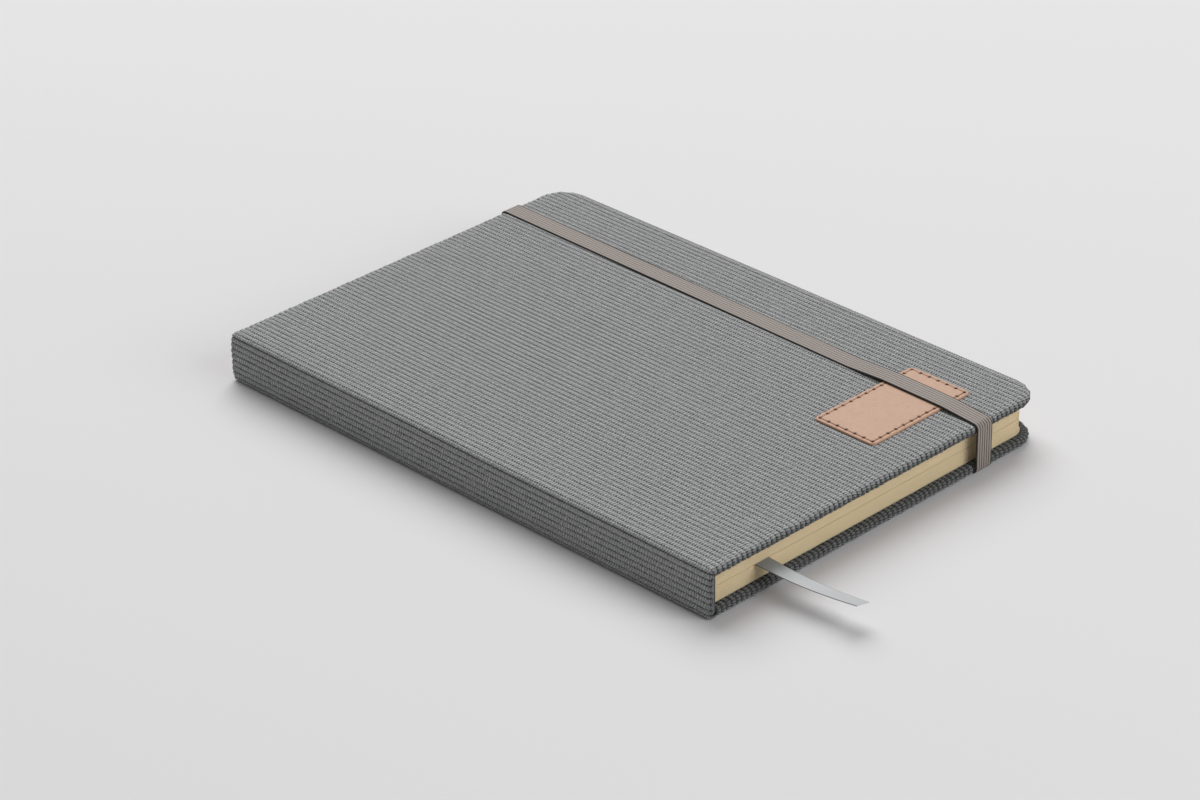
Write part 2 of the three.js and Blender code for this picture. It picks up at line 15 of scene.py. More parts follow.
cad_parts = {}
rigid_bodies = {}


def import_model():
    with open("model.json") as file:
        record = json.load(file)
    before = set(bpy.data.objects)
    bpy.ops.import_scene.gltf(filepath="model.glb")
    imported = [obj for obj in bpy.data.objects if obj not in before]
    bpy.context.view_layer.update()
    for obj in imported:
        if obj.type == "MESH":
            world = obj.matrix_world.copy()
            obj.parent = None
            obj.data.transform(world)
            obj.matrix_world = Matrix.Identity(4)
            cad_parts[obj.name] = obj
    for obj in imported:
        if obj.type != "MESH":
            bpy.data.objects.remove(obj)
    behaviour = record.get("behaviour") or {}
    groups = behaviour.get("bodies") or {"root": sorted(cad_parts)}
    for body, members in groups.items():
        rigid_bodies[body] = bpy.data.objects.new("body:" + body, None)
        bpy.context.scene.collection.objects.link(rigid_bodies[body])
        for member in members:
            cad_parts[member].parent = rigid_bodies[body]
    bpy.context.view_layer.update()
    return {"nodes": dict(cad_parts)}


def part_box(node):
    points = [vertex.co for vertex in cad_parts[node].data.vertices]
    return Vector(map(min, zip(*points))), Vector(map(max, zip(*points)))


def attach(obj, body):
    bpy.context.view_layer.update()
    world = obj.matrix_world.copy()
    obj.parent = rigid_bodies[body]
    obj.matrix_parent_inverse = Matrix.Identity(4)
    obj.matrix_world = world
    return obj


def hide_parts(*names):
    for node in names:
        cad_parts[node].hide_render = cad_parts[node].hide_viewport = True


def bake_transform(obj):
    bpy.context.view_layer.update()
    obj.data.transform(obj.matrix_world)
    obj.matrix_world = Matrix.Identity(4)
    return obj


bl_info = {
    "name": "Corduroy Notebook",
    "version": (1, 0, 0),
    "blender": (4, 5, 0),
    "location": "View3D > Sidebar > Notebook",
    "description": "Dresses a hardcover notebook in corduroy, paper, elastic, ribbon and leather",
    "category": "Add Mesh",
}

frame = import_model()

MM = 0.001
SEAM = 0.002 * MM

# Places that the packed model gives
front_low, front_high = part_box("front_cloth")
spine_low, spine_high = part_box("spine_cloth")
SPINE_FACE = spine_low[0]
FORE_EDGE, HEAD_EDGE, TOP = front_high
SPINE_THICKNESS = spine_high[0] - spine_low[0]

# The cloth goes round a cover's edge in a half circle, and round the thinner spine in a tighter one
WRAP = (TOP - front_low[2]) / 2
SPINE_WRAP = SPINE_THICKNESS / 2
QUARTER_BEND = WRAP * math.pi / 2
HALF_BEND = WRAP * math.pi
BEND_START = HEAD_EDGE - WRAP
HINGE_X = SPINE_FACE + WRAP
SPINE_FLAT = TOP - 2 * WRAP

# Wales are counted from the deep crease at the top of the spine: up over the cover, down the spine
CREASE_WALE = 0
LOWER_CREASE_WALE = -7
SPINE_SPLIT_WALE = -4
FRONT_FIRST_WALE = 1
BACK_FIRST_WALE = -9

# The middle of the spine's face, as a length round the case that is measured from that crease
CREASE_ANGLE = math.radians(18)
SPINE_MIDDLE = -CREASE_ANGLE * WRAP - SPINE_FLAT / 2

# The cloth's mesh, with columns that crowd at the grooves
COLUMNS_PER_WALE = 8
COLUMN_CROWDING = 0.5
ROWS_PER_TUFT = 4

# How narrow the grooves are, on a face and at an edge: a power of the cosine across a wale
FLAT_SHARPNESS = 18
EDGE_SHARPNESS = 6
CREASE_SHARPNESS = 2.2

# How far the pile opens at most, where the cloth is bent round an edge; the same share sets the
# painted shade that darkens those edges
OPENING_AND_SHADE = 0.8

# Steps by which the sine that scatters the tufts is turned, from wale to wale and tuft to tuft
WALE_SEED = 12.9898
TUFT_SEED = 78.233

# Settings of nodes that most materials use
COLOUR_MIX = {"output": 2, "data_type": "RGBA"}
SMOOTH = {"interpolation_type": "SMOOTHSTEP"}


def linear(hex_colour):
    """An sRGB hex colour as linear red, green and blue."""
    parts = [int(hex_colour[i : i + 2], 16) / 255 for i in (0, 2, 4)]
    return [p / 12.92 if p <= 0.04045 else ((p + 0.055) / 1.055) ** 2.4 for p in parts]


def shade(colour, factor):
    """A linear colour made darker or lighter."""
    return [min(1, c * factor) for c in colour]


def colour_property(name, description, hex_colour):
    """A colour that a user can change."""
    details = {"subtype": "COLOR", "size": 3, "min": 0, "max": 1, "default": linear(hex_colour)}
    return bpy.props.FloatVectorProperty(name=name, description=description, **details)


def number_property(name, description, default, **details):
    """A number that a user can change."""
    return bpy.props.FloatProperty(name=name, description=description, default=default, **details)


def length_property(name, description, millimetres):
    """A length that a user can change."""
    details = {"min": 0, "unit": "LENGTH", "precision": 5}
    return number_property(name, description, millimetres * MM, **details)


class NotebookClothSettings(bpy.types.PropertyGroup):
    """The corduroy and how it is wrapped over the boards"""

    wale_pitch: length_property("Wale pitch", "One wale and its groove, across", 2.045)
    tuft_pitch: length_property("Tuft pitch", "One tuft of pile, along a wale", 0.98)
    groove_depth: length_property("Groove depth", "From a wale's crest to the backing", 0.4)
    crease_depth: length_property("Crease depth", "The grooves that the covers hinge at", 0.95)
    tuft_depth: length_property("Tuft depth", "How far the pile parts between two tufts", 0.24)
    unevenness: length_property("Unevenness", "How far single tufts lie lower", 0.16)
    corner: length_property("Corner radius", "Round of the covers' fore-edge corners", 10)
    turn_in: length_property("Turn-in", "Cloth that shows and runs on under a pastedown", 4)
    spine_turn_in: length_property("Spine turn-in", "The same inside the spine's ends", 11)
    slant: number_property("Slant", "Tufts that a wale leans by, from side to side", 0.45)
    meander: length_property("Wander", "How far a wale strays from a straight line", 0.13)
    pile: colour_property("Pile", "Crests of the wales", "b6b7b7")
    groove: colour_property("Groove", "Backing between the wales", "494b4b")
    # Also the colour that bent and pressed cloth is darkened towards: painted shade on the bent edges
    # of covers and spine, and on the spine's pressed ends
    roots: colour_property("Roots", "Foot of the pile, seen where cloth is bent or pressed", "4e5153")


class NotebookPaperSettings(bpy.types.PropertyGroup):
    """The pages and the endpapers"""

    leaf_gap: length_property("Leaf gap", "Shadow between two leaves at the trimmed edge", 0.03)
    trim: length_property("Trim", "How far single leaves stand back at the edge", 0.07)
    corner: length_property("Corner radius", "Round of the pages' fore-edge corners", 6.7)
    page: colour_property("Page", "Cream book paper", "f0deb9")
    endpaper: colour_property("Endpaper", "Heavier cream paper on the covers", "e4d8b6")


class NotebookElasticSettings(bpy.types.PropertyGroup):
    """The elastic closure"""

    width: length_property("Width", "Across the band", 7)
    thickness: length_property("Thickness", "Through the band", 0.6)
    tail_inset: length_property("Inset at the tail", "Fore edge to the band's middle", 28.5)
    head_inset: length_property("Inset at the head", "Fore edge to the band's middle", 25)
    ribs: bpy.props.IntProperty(
        name="Ribs", description="Rubber cords side by side in the band", default=6, min=2
    )
    rib_depth: length_property("Rib depth", "Groove between two rubber cords", 0.19)
    yarn: colour_property("Yarn", "Taupe covering yarn", "aea59f")
    shade: colour_property("Shade", "Yarn down in the grooves", "60574f")
    # The dark selvedge colour is painted shadow along both of the band's edges
    edge: colour_property("Edge", "The band's two dark selvedges", "35312f")


class NotebookRibbonSettings(bpy.types.PropertyGroup):
    """The ribbon marker"""

    width: length_property("Width", "Across the ribbon", 6)
    thickness: length_property("Thickness", "Through the ribbon", 0.25)
    twist: number_property(
        "Twist", "Turn of the free end about its length", math.radians(14), subtype="ANGLE"
    )
    satin: colour_property("Satin", "Pale grey woven satin", "c0c3c5")
    edge: colour_property("Edge", "Woven edge of the ribbon", "5d6063")


class NotebookPatchSettings(bpy.types.PropertyGroup):
    """The leather patch and its stitching"""

    height: length_property("Height", "How far the patch stands up out of the pile", 0.62)
    corner: length_property("Corner radius", "Round of the patch's corners", 1.8)
    stitch_inset: length_property("Stitch inset", "Patch's edge to the stitch line", 1.4)
    stitch_pitch: length_property("Stitch pitch", "Hole to hole", 3.6)
    stitch_gap: length_property("Stitch gap", "Between two stitches, at a hole", 0.7)
    thread: length_property("Thread", "Diameter of the waxed thread", 0.32)
    hide: colour_property("Leather", "Vegetable-tanned leather", "cfab93")
    burnish: colour_property("Burnished edge", "Edge, warmed by rubbing", "d2a588")
    hole: colour_property("Hole", "Inside of the punched holes", "45241a")
    # The hole colour is painted shade down in the punched holes
    waxed: colour_property("Thread colour", "Brown waxed thread", "8a5438")


class NotebookStageSettings(bpy.types.PropertyGroup):
    """The floor, the lamps and the camera"""

    floor: colour_property("Floor", "Pale floor", "e9e8e9")
    sky: number_property("Sky", "Strength of the light from all round", 0.2, min=0)
    key: number_property("Key", "Power of the lamp beyond the head", 84, unit="POWER")
    fill: number_property("Fill", "Power of the lamp beyond the tail", 18, unit="POWER")


def select_only(piece):
    """Deselects everything and makes one object selected and active."""
    bpy.ops.object.select_all(action="DESELECT")
    piece.select_set(True)
    bpy.context.view_layer.objects.active = piece


def name_piece(name):
    """Names the object that was just made, and its mesh."""
    piece = bpy.context.object
    piece.name = name
    piece.data.name = name
    return piece


def copy_piece(piece):
    """A copy of a piece, with its own mesh."""
    copy = piece.copy()
    copy.data = piece.data.copy()
    bpy.context.collection.objects.link(copy)
    return copy


def node_box(name):
    """A CAD node's lowest and highest corner, as vectors."""
    low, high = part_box(name)
    return Vector(low), Vector(high)


def add_grid(name, across, along):
    """A flat grid, with each vertex's share of the way across it and along it."""
    bpy.ops.object.select_all(action="DESELECT")
    bpy.ops.mesh.primitive_grid_add(x_subdivisions=across, y_subdivisions=along, size=1)
    piece = name_piece(name)
    flat = vertex_places(piece)[:, :2]
    low = flat.min(axis=0)
    share = (flat - low) / (flat.max(axis=0) - low)
    return piece, share[:, 0], share[:, 1]


def add_block(name, add_primitive, low, high):
    """A plane or a cube set between two corners, which stays in edit mode."""
    bpy.ops.object.select_all(action="DESELECT")
    add_primitive(size=1)
    piece = name_piece(name)
    bpy.ops.object.mode_set(mode="EDIT")
    bpy.ops.mesh.select_mode(type="VERT")
    size = high - low
    # A plane has no height to scale
    value = (size.x, size.y, size.z or 1)
    bpy.ops.transform.resize(value=value, center_override=(0, 0, 0))
    bpy.ops.transform.translate(value=(high + low) / 2)
    return piece


def vertex_places(piece):
    """The vertices of a mesh, one row each."""
    places = np.empty(len(piece.data.vertices) * 3)
    piece.data.vertices.foreach_get("co", places)
    return places.reshape(-1, 3)


def place_vertices(piece, places):
    """Moves the vertices of a mesh."""
    piece.data.vertices.foreach_set("co", places.ravel())
    piece.data.update()


def write_uv(piece, name, u, v):
    """Writes a UV map from one value of u and v for each vertex."""
    while piece.data.uv_layers:
        piece.data.uv_layers.remove(piece.data.uv_layers[0])
    layer = piece.data.uv_layers.new(name=name)
    corner_vertex = np.empty(len(piece.data.loops), dtype=np.int32)
    piece.data.loops.foreach_get("vertex_index", corner_vertex)
    layer.uv.foreach_set("vector", np.stack([u, v], axis=1)[corner_vertex].ravel())


def write_attribute(piece, name, values):
    """Keeps one number for each vertex, which the piece's material reads."""
    attribute = piece.data.attributes.new(name, "FLOAT", "POINT")
    attribute.data.foreach_set("value", values.astype(np.float32))


def select_where(piece, kind, test):
    """In edit mode, selects the vertices or edges whose places pass the test, and no others."""
    bpy.ops.mesh.select_mode(type=kind)
    bpy.ops.mesh.select_all(action="DESELECT")
    bpy.ops.object.mode_set(mode="OBJECT")
    vertices = piece.data.vertices
    if kind == "VERT":
        for vertex in vertices:
            vertex.select = test(vertex.co)
    else:
        for edge in piece.data.edges:
            edge.select = test(*(vertices[i].co for i in edge.vertices))
    bpy.ops.object.mode_set(mode="EDIT")


def select_top_face(piece):
    """In edit mode, selects the highest of the faces that look up."""
    bpy.ops.mesh.select_mode(type="FACE")
    bpy.ops.mesh.select_all(action="DESELECT")
    bpy.ops.object.mode_set(mode="OBJECT")
    upward = [face for face in piece.data.polygons if face.normal.z > 0.9]
    max(upward, key=lambda face: (round(face.center.z, 6), face.area)).select = True
    bpy.ops.object.mode_set(mode="EDIT")


def finish_sheet(piece, flip):
    """Turns all the faces of an open sheet round if they look inwards, and shades them smooth."""
    select_only(piece)
    if flip:
        bpy.ops.object.mode_set(mode="EDIT")
        bpy.ops.mesh.select_all(action="SELECT")
        bpy.ops.mesh.flip_normals()
        bpy.ops.object.mode_set(mode="OBJECT")
    bpy.ops.object.shade_smooth()


def finish_solid(piece, angle=40, open_ends=False):
    """Closes a solid's seams and open ends, turns its faces outwards, smooths its gentle edges."""
    select_only(piece)
    bpy.ops.object.mode_set(mode="EDIT")
    bpy.ops.mesh.select_all(action="SELECT")
    bpy.ops.mesh.remove_doubles(threshold=SEAM)
    if open_ends:
        bpy.ops.mesh.select_all(action="DESELECT")
        bpy.ops.mesh.select_mode(type="EDGE")
        bpy.ops.mesh.select_non_manifold(extend=False)
        bpy.ops.mesh.edge_face_add()
        bpy.ops.mesh.select_all(action="SELECT")
    bpy.ops.mesh.normals_make_consistent(inside=False)
    bpy.ops.object.mode_set(mode="OBJECT")
    bpy.ops.object.shade_smooth_by_angle(angle=math.radians(angle))


def give_material(piece, material):
    """Leaves a piece with this one material."""
    piece.data.materials.clear()
    piece.data.materials.append(material)


def dress_piece(piece, material, body, node):
    """Gives a new piece its material, its slot, the body it rides on and the node it replaces."""
    give_material(piece, material)
    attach(piece, body)
    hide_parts(node)


def dress_node(name, material):
    """Gives a CAD node a material in its own slots."""
    node = frame["nodes"][name]
    if not node.material_slots:
        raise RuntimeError(f"{name} has no material slot")
    for slot in node.material_slots:
        slot.material = material


def add_node(tree, kind, inputs=(), output=0, **settings):
    """Adds a node with its settings and links, and gives back one of its outputs, or all of it.

    Inputs go by place or by name. Each is a value, or the socket that is linked to it.
    """
    node = tree.nodes.new("ShaderNode" + kind)
    for name, value in settings.items():
        setattr(node, name, value)
    for key, value in inputs.items() if isinstance(inputs, dict) else enumerate(inputs):
        socket = node.inputs[key]
        if isinstance(value, bpy.types.NodeSocket):
            tree.links.new(value, socket)
        elif socket.type == "RGBA":
            socket.default_value = (*value, 1)
        else:
            socket.default_value = value
    return node if output is None else node.outputs[output]


def new_material(name):
    """An empty node material, and add_node for its tree."""
    material = bpy.data.materials.new(name)
    material.use_nodes = True
    material.node_tree.nodes.clear()
    return material, functools.partial(add_node, material.node_tree)


def finish_material(material, add, colour, height, relief, look):
    """Ends a material's tree: its colour, a height in units of its relief, and other sockets."""
    normal = add("Bump", {"Distance": relief, "Height": height})
    shader = add("BsdfPrincipled", {"Base Color": colour, "Normal": normal, **look})
    add("OutputMaterial", {"Surface": shader}, None)
    return material


def corduroy_material(cloth):
    """Cotton corduroy, cut pile: matt velvety wales, tufted along their length, over dark grooves."""
    material, add = new_material("cotton_corduroy")
    counts = add("SeparateXYZ", [add("UVMap", uv_map="wales")], None)
    place = add("TexCoord", output="Object")
    crush_and_shade = add("Attribute", output="Fac", attribute_name="crush_and_shade")
    standing = add("Math", [1.0, crush_and_shade], operation="SUBTRACT", use_clamp=True)
    # Tufts stray along their wale by a part of their pitch
    stray = add("TexNoise", {"Vector": place, "Scale": 1 / (1.5 * MM), "Detail": 2.0})
    tuft = add("Math", [stray, 0.9, counts.outputs[1]], operation="MULTIPLY_ADD")
    half_turns = add("Math", [tuft, math.pi], operation="MULTIPLY")
    beat = add("Math", [add("Math", [half_turns], operation="SINE")], operation="ABSOLUTE")
    # Where the cloth is bent round an edge, its grooves open, and wind between the tufts
    opened_and_shaded = add("Attribute", output="Fac", attribute_name="opened_and_shaded")
    whole_turns = add("Math", [tuft, math.tau], operation="MULTIPLY")
    swing = add("Math", [add("Math", [whole_turns], operation="SINE"), 0.2], operation="MULTIPLY")
    wale = add("Math", [swing, opened_and_shaded, counts.outputs[0]], operation="MULTIPLY_ADD")
    half_turns = add("Math", [wale, math.pi], operation="MULTIPLY")
    across = add("Math", [add("Math", [half_turns], operation="COSINE")], operation="ABSOLUTE")
    # A tuft bulges into the groove, which leaves a row of dark dashes
    reach = add("Math", [beat, -0.1, across], operation="MULTIPLY_ADD")
    reach = add("Math", [opened_and_shaded, 0.2, reach], operation="MULTIPLY_ADD")
    groove = add("MapRange", {"Value": reach, "From Min": 0.83, "From Max": 0.98}, **SMOOTH)
    groove = add("Math", [groove, standing], operation="MULTIPLY")
    # The backing shows through less where the wales crowd together
    crowd = add("TexNoise", {"Vector": place, "Scale": 1 / (4 * MM), "Detail": 2.0})
    crowd = add("MapRange", {"Value": crowd, "From Min": 0.35, "From Max": 0.6, "To Min": 0.3})
    crowd = add("Math", [crowd, opened_and_shaded], operation="ADD", use_clamp=True)
    groove = add("Math", [groove, crowd], operation="MULTIPLY")
    # Between two tufts the pile parts, most of all beside a groove
    parting = add("MapRange", {"Value": beat, "From Min": 0.6, "From Max": 0.0}, **SMOOTH)
    parting = add("Math", [parting, standing], operation="MULTIPLY")
    side = add("Math", [across, 0.6, 0.4], operation="MULTIPLY_ADD")
    parting = add("Math", [parting, side], operation="MULTIPLY")
    # Fibres are 0.02 mm across and are drawn as specks of 0.6 mm, so that they show
    fibre = add("TexNoise", {"Vector": place, "Scale": 1 / (0.6 * MM), "Detail": 3.0})
    speck = add("MapRange", {"Value": fibre, "From Min": 0.3, "From Max": 0.72}, **SMOOTH)
    ends = {6: shade(cloth.pile, 0.78), 7: shade(cloth.pile, 1.24)}
    pile = add("Mix", {0: speck, **ends}, **COLOUR_MIX)
    cloud = add("TexNoise", {"Vector": place, "Scale": 1 / (15 * MM), "Detail": 2.0})
    worn = add("Math", [cloud, 0.22], operation="MULTIPLY")
    pile = add("Mix", {0: worn, 6: pile, 7: shade(cloth.pile, 0.72)}, **COLOUR_MIX)
    pile = add("Mix", {0: parting, 6: pile, 7: shade(cloth.pile, 0.36)}, **COLOUR_MIX)
    # Painted shade: where the cloth is bent round an edge or pressed flat, its pile is darkened
    # towards the roots' colour
    bent = add("Math", [opened_and_shaded, 0.85], operation="MULTIPLY")
    bent = add("Math", [crush_and_shade, bent], operation="MAXIMUM")
    pile = add("Mix", {0: bent, 6: pile, 7: cloth.roots}, **COLOUR_MIX)
    colour = add("Mix", {0: groove, 6: pile, 7: cloth.groove}, **COLOUR_MIX)
    # Tufts are drawn deeper than they are, because their mesh ends at four rows to each
    drawn_depth = 1.7 * cloth.tuft_depth / MM
    height = add("Math", [beat, drawn_depth], operation="MULTIPLY")
    height = add("Math", [height, standing], operation="MULTIPLY")
    height = add("Math", [fibre, 0.16, height], operation="MULTIPLY_ADD")
    look = {"Roughness": 0.95, "Specular IOR Level": 0.15}
    look |= {"Sheen Weight": 0.1, "Sheen Roughness": 0.6}
    return finish_material(material, add, colour, height, MM, look)


def grained_material(name, grain, detail, ends, relief, roughness):
    """A material with one grain, which runs between two colours and stands out as relief."""
    material, add = new_material(name)
    place = add("TexCoord", output="Object")
    speck = add("TexNoise", {"Vector": place, "Scale": 1 / grain, "Detail": detail})
    colour = add("Mix", {0: speck, 6: ends[0], 7: ends[1]}, **COLOUR_MIX)
    return finish_material(material, add, colour, speck, relief, {"Roughness": roughness})


def greyboard_material():
    """Bookbinder's greyboard, pressed from waste paper: dull grey-brown with darker specks."""
    ends = (linear("857d72"), linear("a39b8e"))
    return grained_material("greyboard", 0.8 * MM, 4.0, ends, 0.05 * MM, 0.95)


def linen_material():
    """Linen sewing thread, spun and waxed: cream and matt, with a fine twist."""
    ends = (linear("c8bda4"), linear("f0e8d6"))
    return grained_material("linen_thread", 0.3 * MM, 1.0, ends, 0.06 * MM, 0.8)


def waxed_thread_material(patch):
    """Waxed polyester thread, laid: dark brown and slightly shiny, with a visible twist."""
    ends = (shade(patch.waxed, 0.6), shade(patch.waxed, 1.5))
    return grained_material("waxed_polyester_thread", 0.35 * MM, 1.0, ends, 0.08 * MM, 0.5)


def endpaper_material(paper):
    """Heavy uncoated endpaper: warm, matt and faintly cloudy, with a fine tooth."""
    material, add = new_material("heavy_endpaper")
    place = add("TexCoord", output="Object")
    cloud = add("TexNoise", {"Vector": place, "Scale": 1 / (9 * MM), "Detail": 3.0})
    tooth = add("TexNoise", {"Vector": place, "Scale": 1 / (0.5 * MM), "Detail": 4.0})
    ends = {6: shade(paper.endpaper, 0.94), 7: shade(paper.endpaper, 1.03)}
    colour = add("Mix", {0: cloud, **ends}, **COLOUR_MIX)
    look = {"Roughness": 0.85, "Specular IOR Level": 0.3}
    return finish_material(material, add, colour, tooth, 0.04 * MM, look)


def page_material(paper):
    """Cream book paper cut by a guillotine: warm, with hair lines where leaves catch the light."""
    material, add = new_material("cream_book_paper")
    place = add("TexCoord", output="Object")
    # A leaf is 0.09 mm thick; its lines are drawn about 0.3 mm apart, so that they show
    drawn_out = add("Mapping", {"Vector": place, "Scale": (0.01, 0.01, 1)})
    lines = add("TexNoise", {"Vector": drawn_out, "Scale": 1 / (0.3 * MM), "Detail": 3.0})
    streak = add("MapRange", {"Value": lines, "From Min": 0.3, "From Max": 0.7}, **SMOOTH)
    # A page's own face has no such lines
    flat = add("SeparateXYZ", [add("TexCoord", output="Normal")], "Z")
    flat = add("Math", [flat], operation="ABSOLUTE")
    streak = add("Mix", {0: flat, 2: streak, 3: 0.5})
    ends = {6: shade(paper.page, 0.95), 7: shade(paper.page, 1.03)}
    colour = add("Mix", {0: streak, **ends}, **COLOUR_MIX)
    cloud = add("TexNoise", {"Vector": place, "Scale": 1 / (12 * MM), "Detail": 2.0})
    worn = add("Math", [cloud, 0.2], operation="MULTIPLY")
    colour = add("Mix", {0: worn, 6: colour, 7: shade(paper.page, 0.93)}, **COLOUR_MIX)
    look = {"Roughness": 0.9, "Specular IOR Level": 0.25}
    return finish_material(material, add, colour, lines, 0.06 * MM, look)


def crash_material():
    """Crash cloth, an open cotton scrim glued over the folds: off-white with a coarse weave."""
    material, add = new_material("crash_cloth")
    parts = add("SeparateXYZ", [add("TexCoord", output="Object")], None)
    # Its threads run along Y and along Z, 0.9 mm apart
    threads = []
    for axis in (1, 2):
        turns = add("Math", [parts.outputs[axis], math.tau / (0.9 * MM)], operation="MULTIPLY")
        threads.append(add("Math", [turns], operation="SINE"))
    weave = add("Math", threads, operation="ADD")
    weave = add("MapRange", {"Value": weave, "From Min": -1.2, "From Max": 1.2})
    ends = {6: linear("b3aa95"), 7: linear("dcd5c4")}
    colour = add("Mix", {0: weave, **ends}, **COLOUR_MIX)
    return finish_material(material, add, colour, weave, 0.15 * MM, {"Roughness": 0.95})


def satin_material(ribbon):
    """Polyester satin ribbon, woven: silky and pale, with lengthwise threads and dark edges."""
    material, add = new_material("polyester_satin")
    spot = add("UVMap", uv_map="weave")
    parts = add("SeparateXYZ", [spot], None)
    # Threads are 0.1 mm apart; they are drawn 0.35 mm apart, so that they show
    drawn_out = add("Mapping", {"Vector": spot, "Scale": (17, 1.5, 1)})
    threads = add("TexNoise", {"Vector": drawn_out, "Scale": 1.0, "Detail": 3.0})
    ends = {6: shade(ribbon.satin, 0.86), 7: shade(ribbon.satin, 1.14)}
    satin = add("Mix", {0: threads, **ends}, **COLOUR_MIX)
    # For a centimetre on either side of the pages' edge the satin is darkened, as painted shade from
    # the cover that overhangs the ribbon's exit
    exit_shade = {"Value": parts.outputs[1], "From Min": 1.9, "From Max": 0.0, "To Max": 0.8}
    exit_shade = add("MapRange", exit_shade, **SMOOTH)
    satin = add("Mix", {0: exit_shade, 6: satin, 7: shade(ribbon.satin, 0.4)}, **COLOUR_MIX)
    middle = add("Math", [parts.outputs[0], 0.5], operation="SUBTRACT")
    middle = add("Math", [middle], operation="ABSOLUTE")
    rim = add("MapRange", {"Value": middle, "From Min": 0.45, "From Max": 0.485}, **SMOOTH)
    colour = add("Mix", {0: rim, 6: satin, 7: ribbon.edge}, **COLOUR_MIX)
    look = {"Roughness": 0.45, "Specular IOR Level": 0.4, "Sheen Weight": 0.1}
    return finish_material(material, add, colour, threads, 0.05 * MM, look)


def braid_material(elastic):
    """Braided elastic, rubber cords under taupe yarn: lengthwise ribs with faint slanted yarns."""
    material, add = new_material("braided_elastic")
    parts = add("SeparateXYZ", [add("UVMap", uv_map="braid")], None)
    # Where the band runs upright over the covers' edges it is drawn tight and opens between its
    # rubber cords, and the same mask paints shade on those upright sides
    upright_stretch_and_shade = add("Attribute", output="Fac", attribute_name="upright_stretch_and_shade")
    rib = add("Math", [parts.outputs[0], math.tau], operation="MULTIPLY")
    rib = add("Math", [rib], operation="COSINE")
    rib = add("Math", [upright_stretch_and_shade, 0.45, rib], operation="MULTIPLY_ADD")
    groove = add("MapRange", {"Value": rib, "From Min": 0.4, "From Max": 1.1}, **SMOOTH)
    # Yarns are 0.2 mm apart; they are drawn 1.1 mm apart, so that they show
    slant = add("Math", [parts.outputs[0], 0.5, parts.outputs[1]], operation="MULTIPLY_ADD")
    slant = add("Math", [slant, math.tau], operation="MULTIPLY")
    yarn = add("Math", [slant], operation="SINE")
    yarn = add("MapRange", {"Value": yarn, "From Min": -1.0, "From Max": 1.0}, **SMOOTH)
    ends = {6: shade(elastic.yarn, 0.99), 7: shade(elastic.yarn, 1.01)}
    light = add("Mix", {0: yarn, **ends}, **COLOUR_MIX)
    place = add("TexCoord", output="Object")
    fuzz = add("TexNoise", {"Vector": place, "Scale": 1 / (0.4 * MM), "Detail": 3.0})
    # Random fuzz varies the yarn a little; on the upright sides it is darkened much more, as painted
    # shade
    worn = add("Math", [fuzz, 0.2], operation="MULTIPLY")
    worn = add("Math", [upright_stretch_and_shade, 0.4, worn], operation="MULTIPLY_ADD")
    light = add("Mix", {0: worn, 6: light, 7: shade(elastic.yarn, 0.7)}, **COLOUR_MIX)
    light = add("Mix", {0: groove, 6: light, 7: elastic.shade}, **COLOUR_MIX)
    # The two dark selvedges are painted shadow along both of the band's edges
    rim = add("Attribute", output="Fac", attribute_name="edge")
    colour = add("Mix", {0: rim, 6: light, 7: elastic.edge}, **COLOUR_MIX)
    height = add("Math", [yarn, 0.15, fuzz], operation="MULTIPLY_ADD")
    look = {"Roughness": 0.75, "Specular IOR Level": 0.3, "Sheen Weight": 0.1}
    return finish_material(material, add, colour, height, 0.03 * MM, look)


def leather_material(patch):
    """Vegetable-tanned leather, left plain: pale tan, mottled and pored, with a burnished edge."""
    material, add = new_material("vegetable_tanned_leather")
    place = add("TexCoord", output="Object")
    mottle = add("TexNoise", {"Vector": place, "Scale": 1 / (1.3 * MM), "Detail": 4.0})
    ends = {6: shade(patch.hide, 0.84), 7: shade(patch.hide, 1.14)}
    hide = add("Mix", {0: mottle, **ends}, **COLOUR_MIX)
    cloud = add("TexNoise", {"Vector": place, "Scale": 1 / (6 * MM), "Detail": 3.0})
    worn = add("Math", [cloud, 0.4], operation="MULTIPLY")
    hide = add("Mix", {0: worn, 6: hide, 7: shade(patch.hide, 0.86)}, **COLOUR_MIX)
    rubbed = add("Attribute", output="Fac", attribute_name="rubbed")
    hide = add("Mix", {0: rubbed, 6: hide, 7: patch.burnish}, **COLOUR_MIX)
    # The punched holes are filled with painted shade
    punched = add("Attribute", output="Fac", attribute_name="punched")
    colour = add("Mix", {0: punched, 6: hide, 7: patch.hole}, **COLOUR_MIX)
    # Pores are 0.1 mm across; they are drawn 0.45 mm across, so that they show
    pores = add("TexVoronoi", {"Vector": place, "Scale": 1 / (0.45 * MM)})
    height = add("Math", [pores, 0.5, mottle], operation="MULTIPLY_ADD")
    look = {"Roughness": 0.62, "Specular IOR Level": 0.35}
    return finish_material(material, add, colour, height, 0.06 * MM, look)


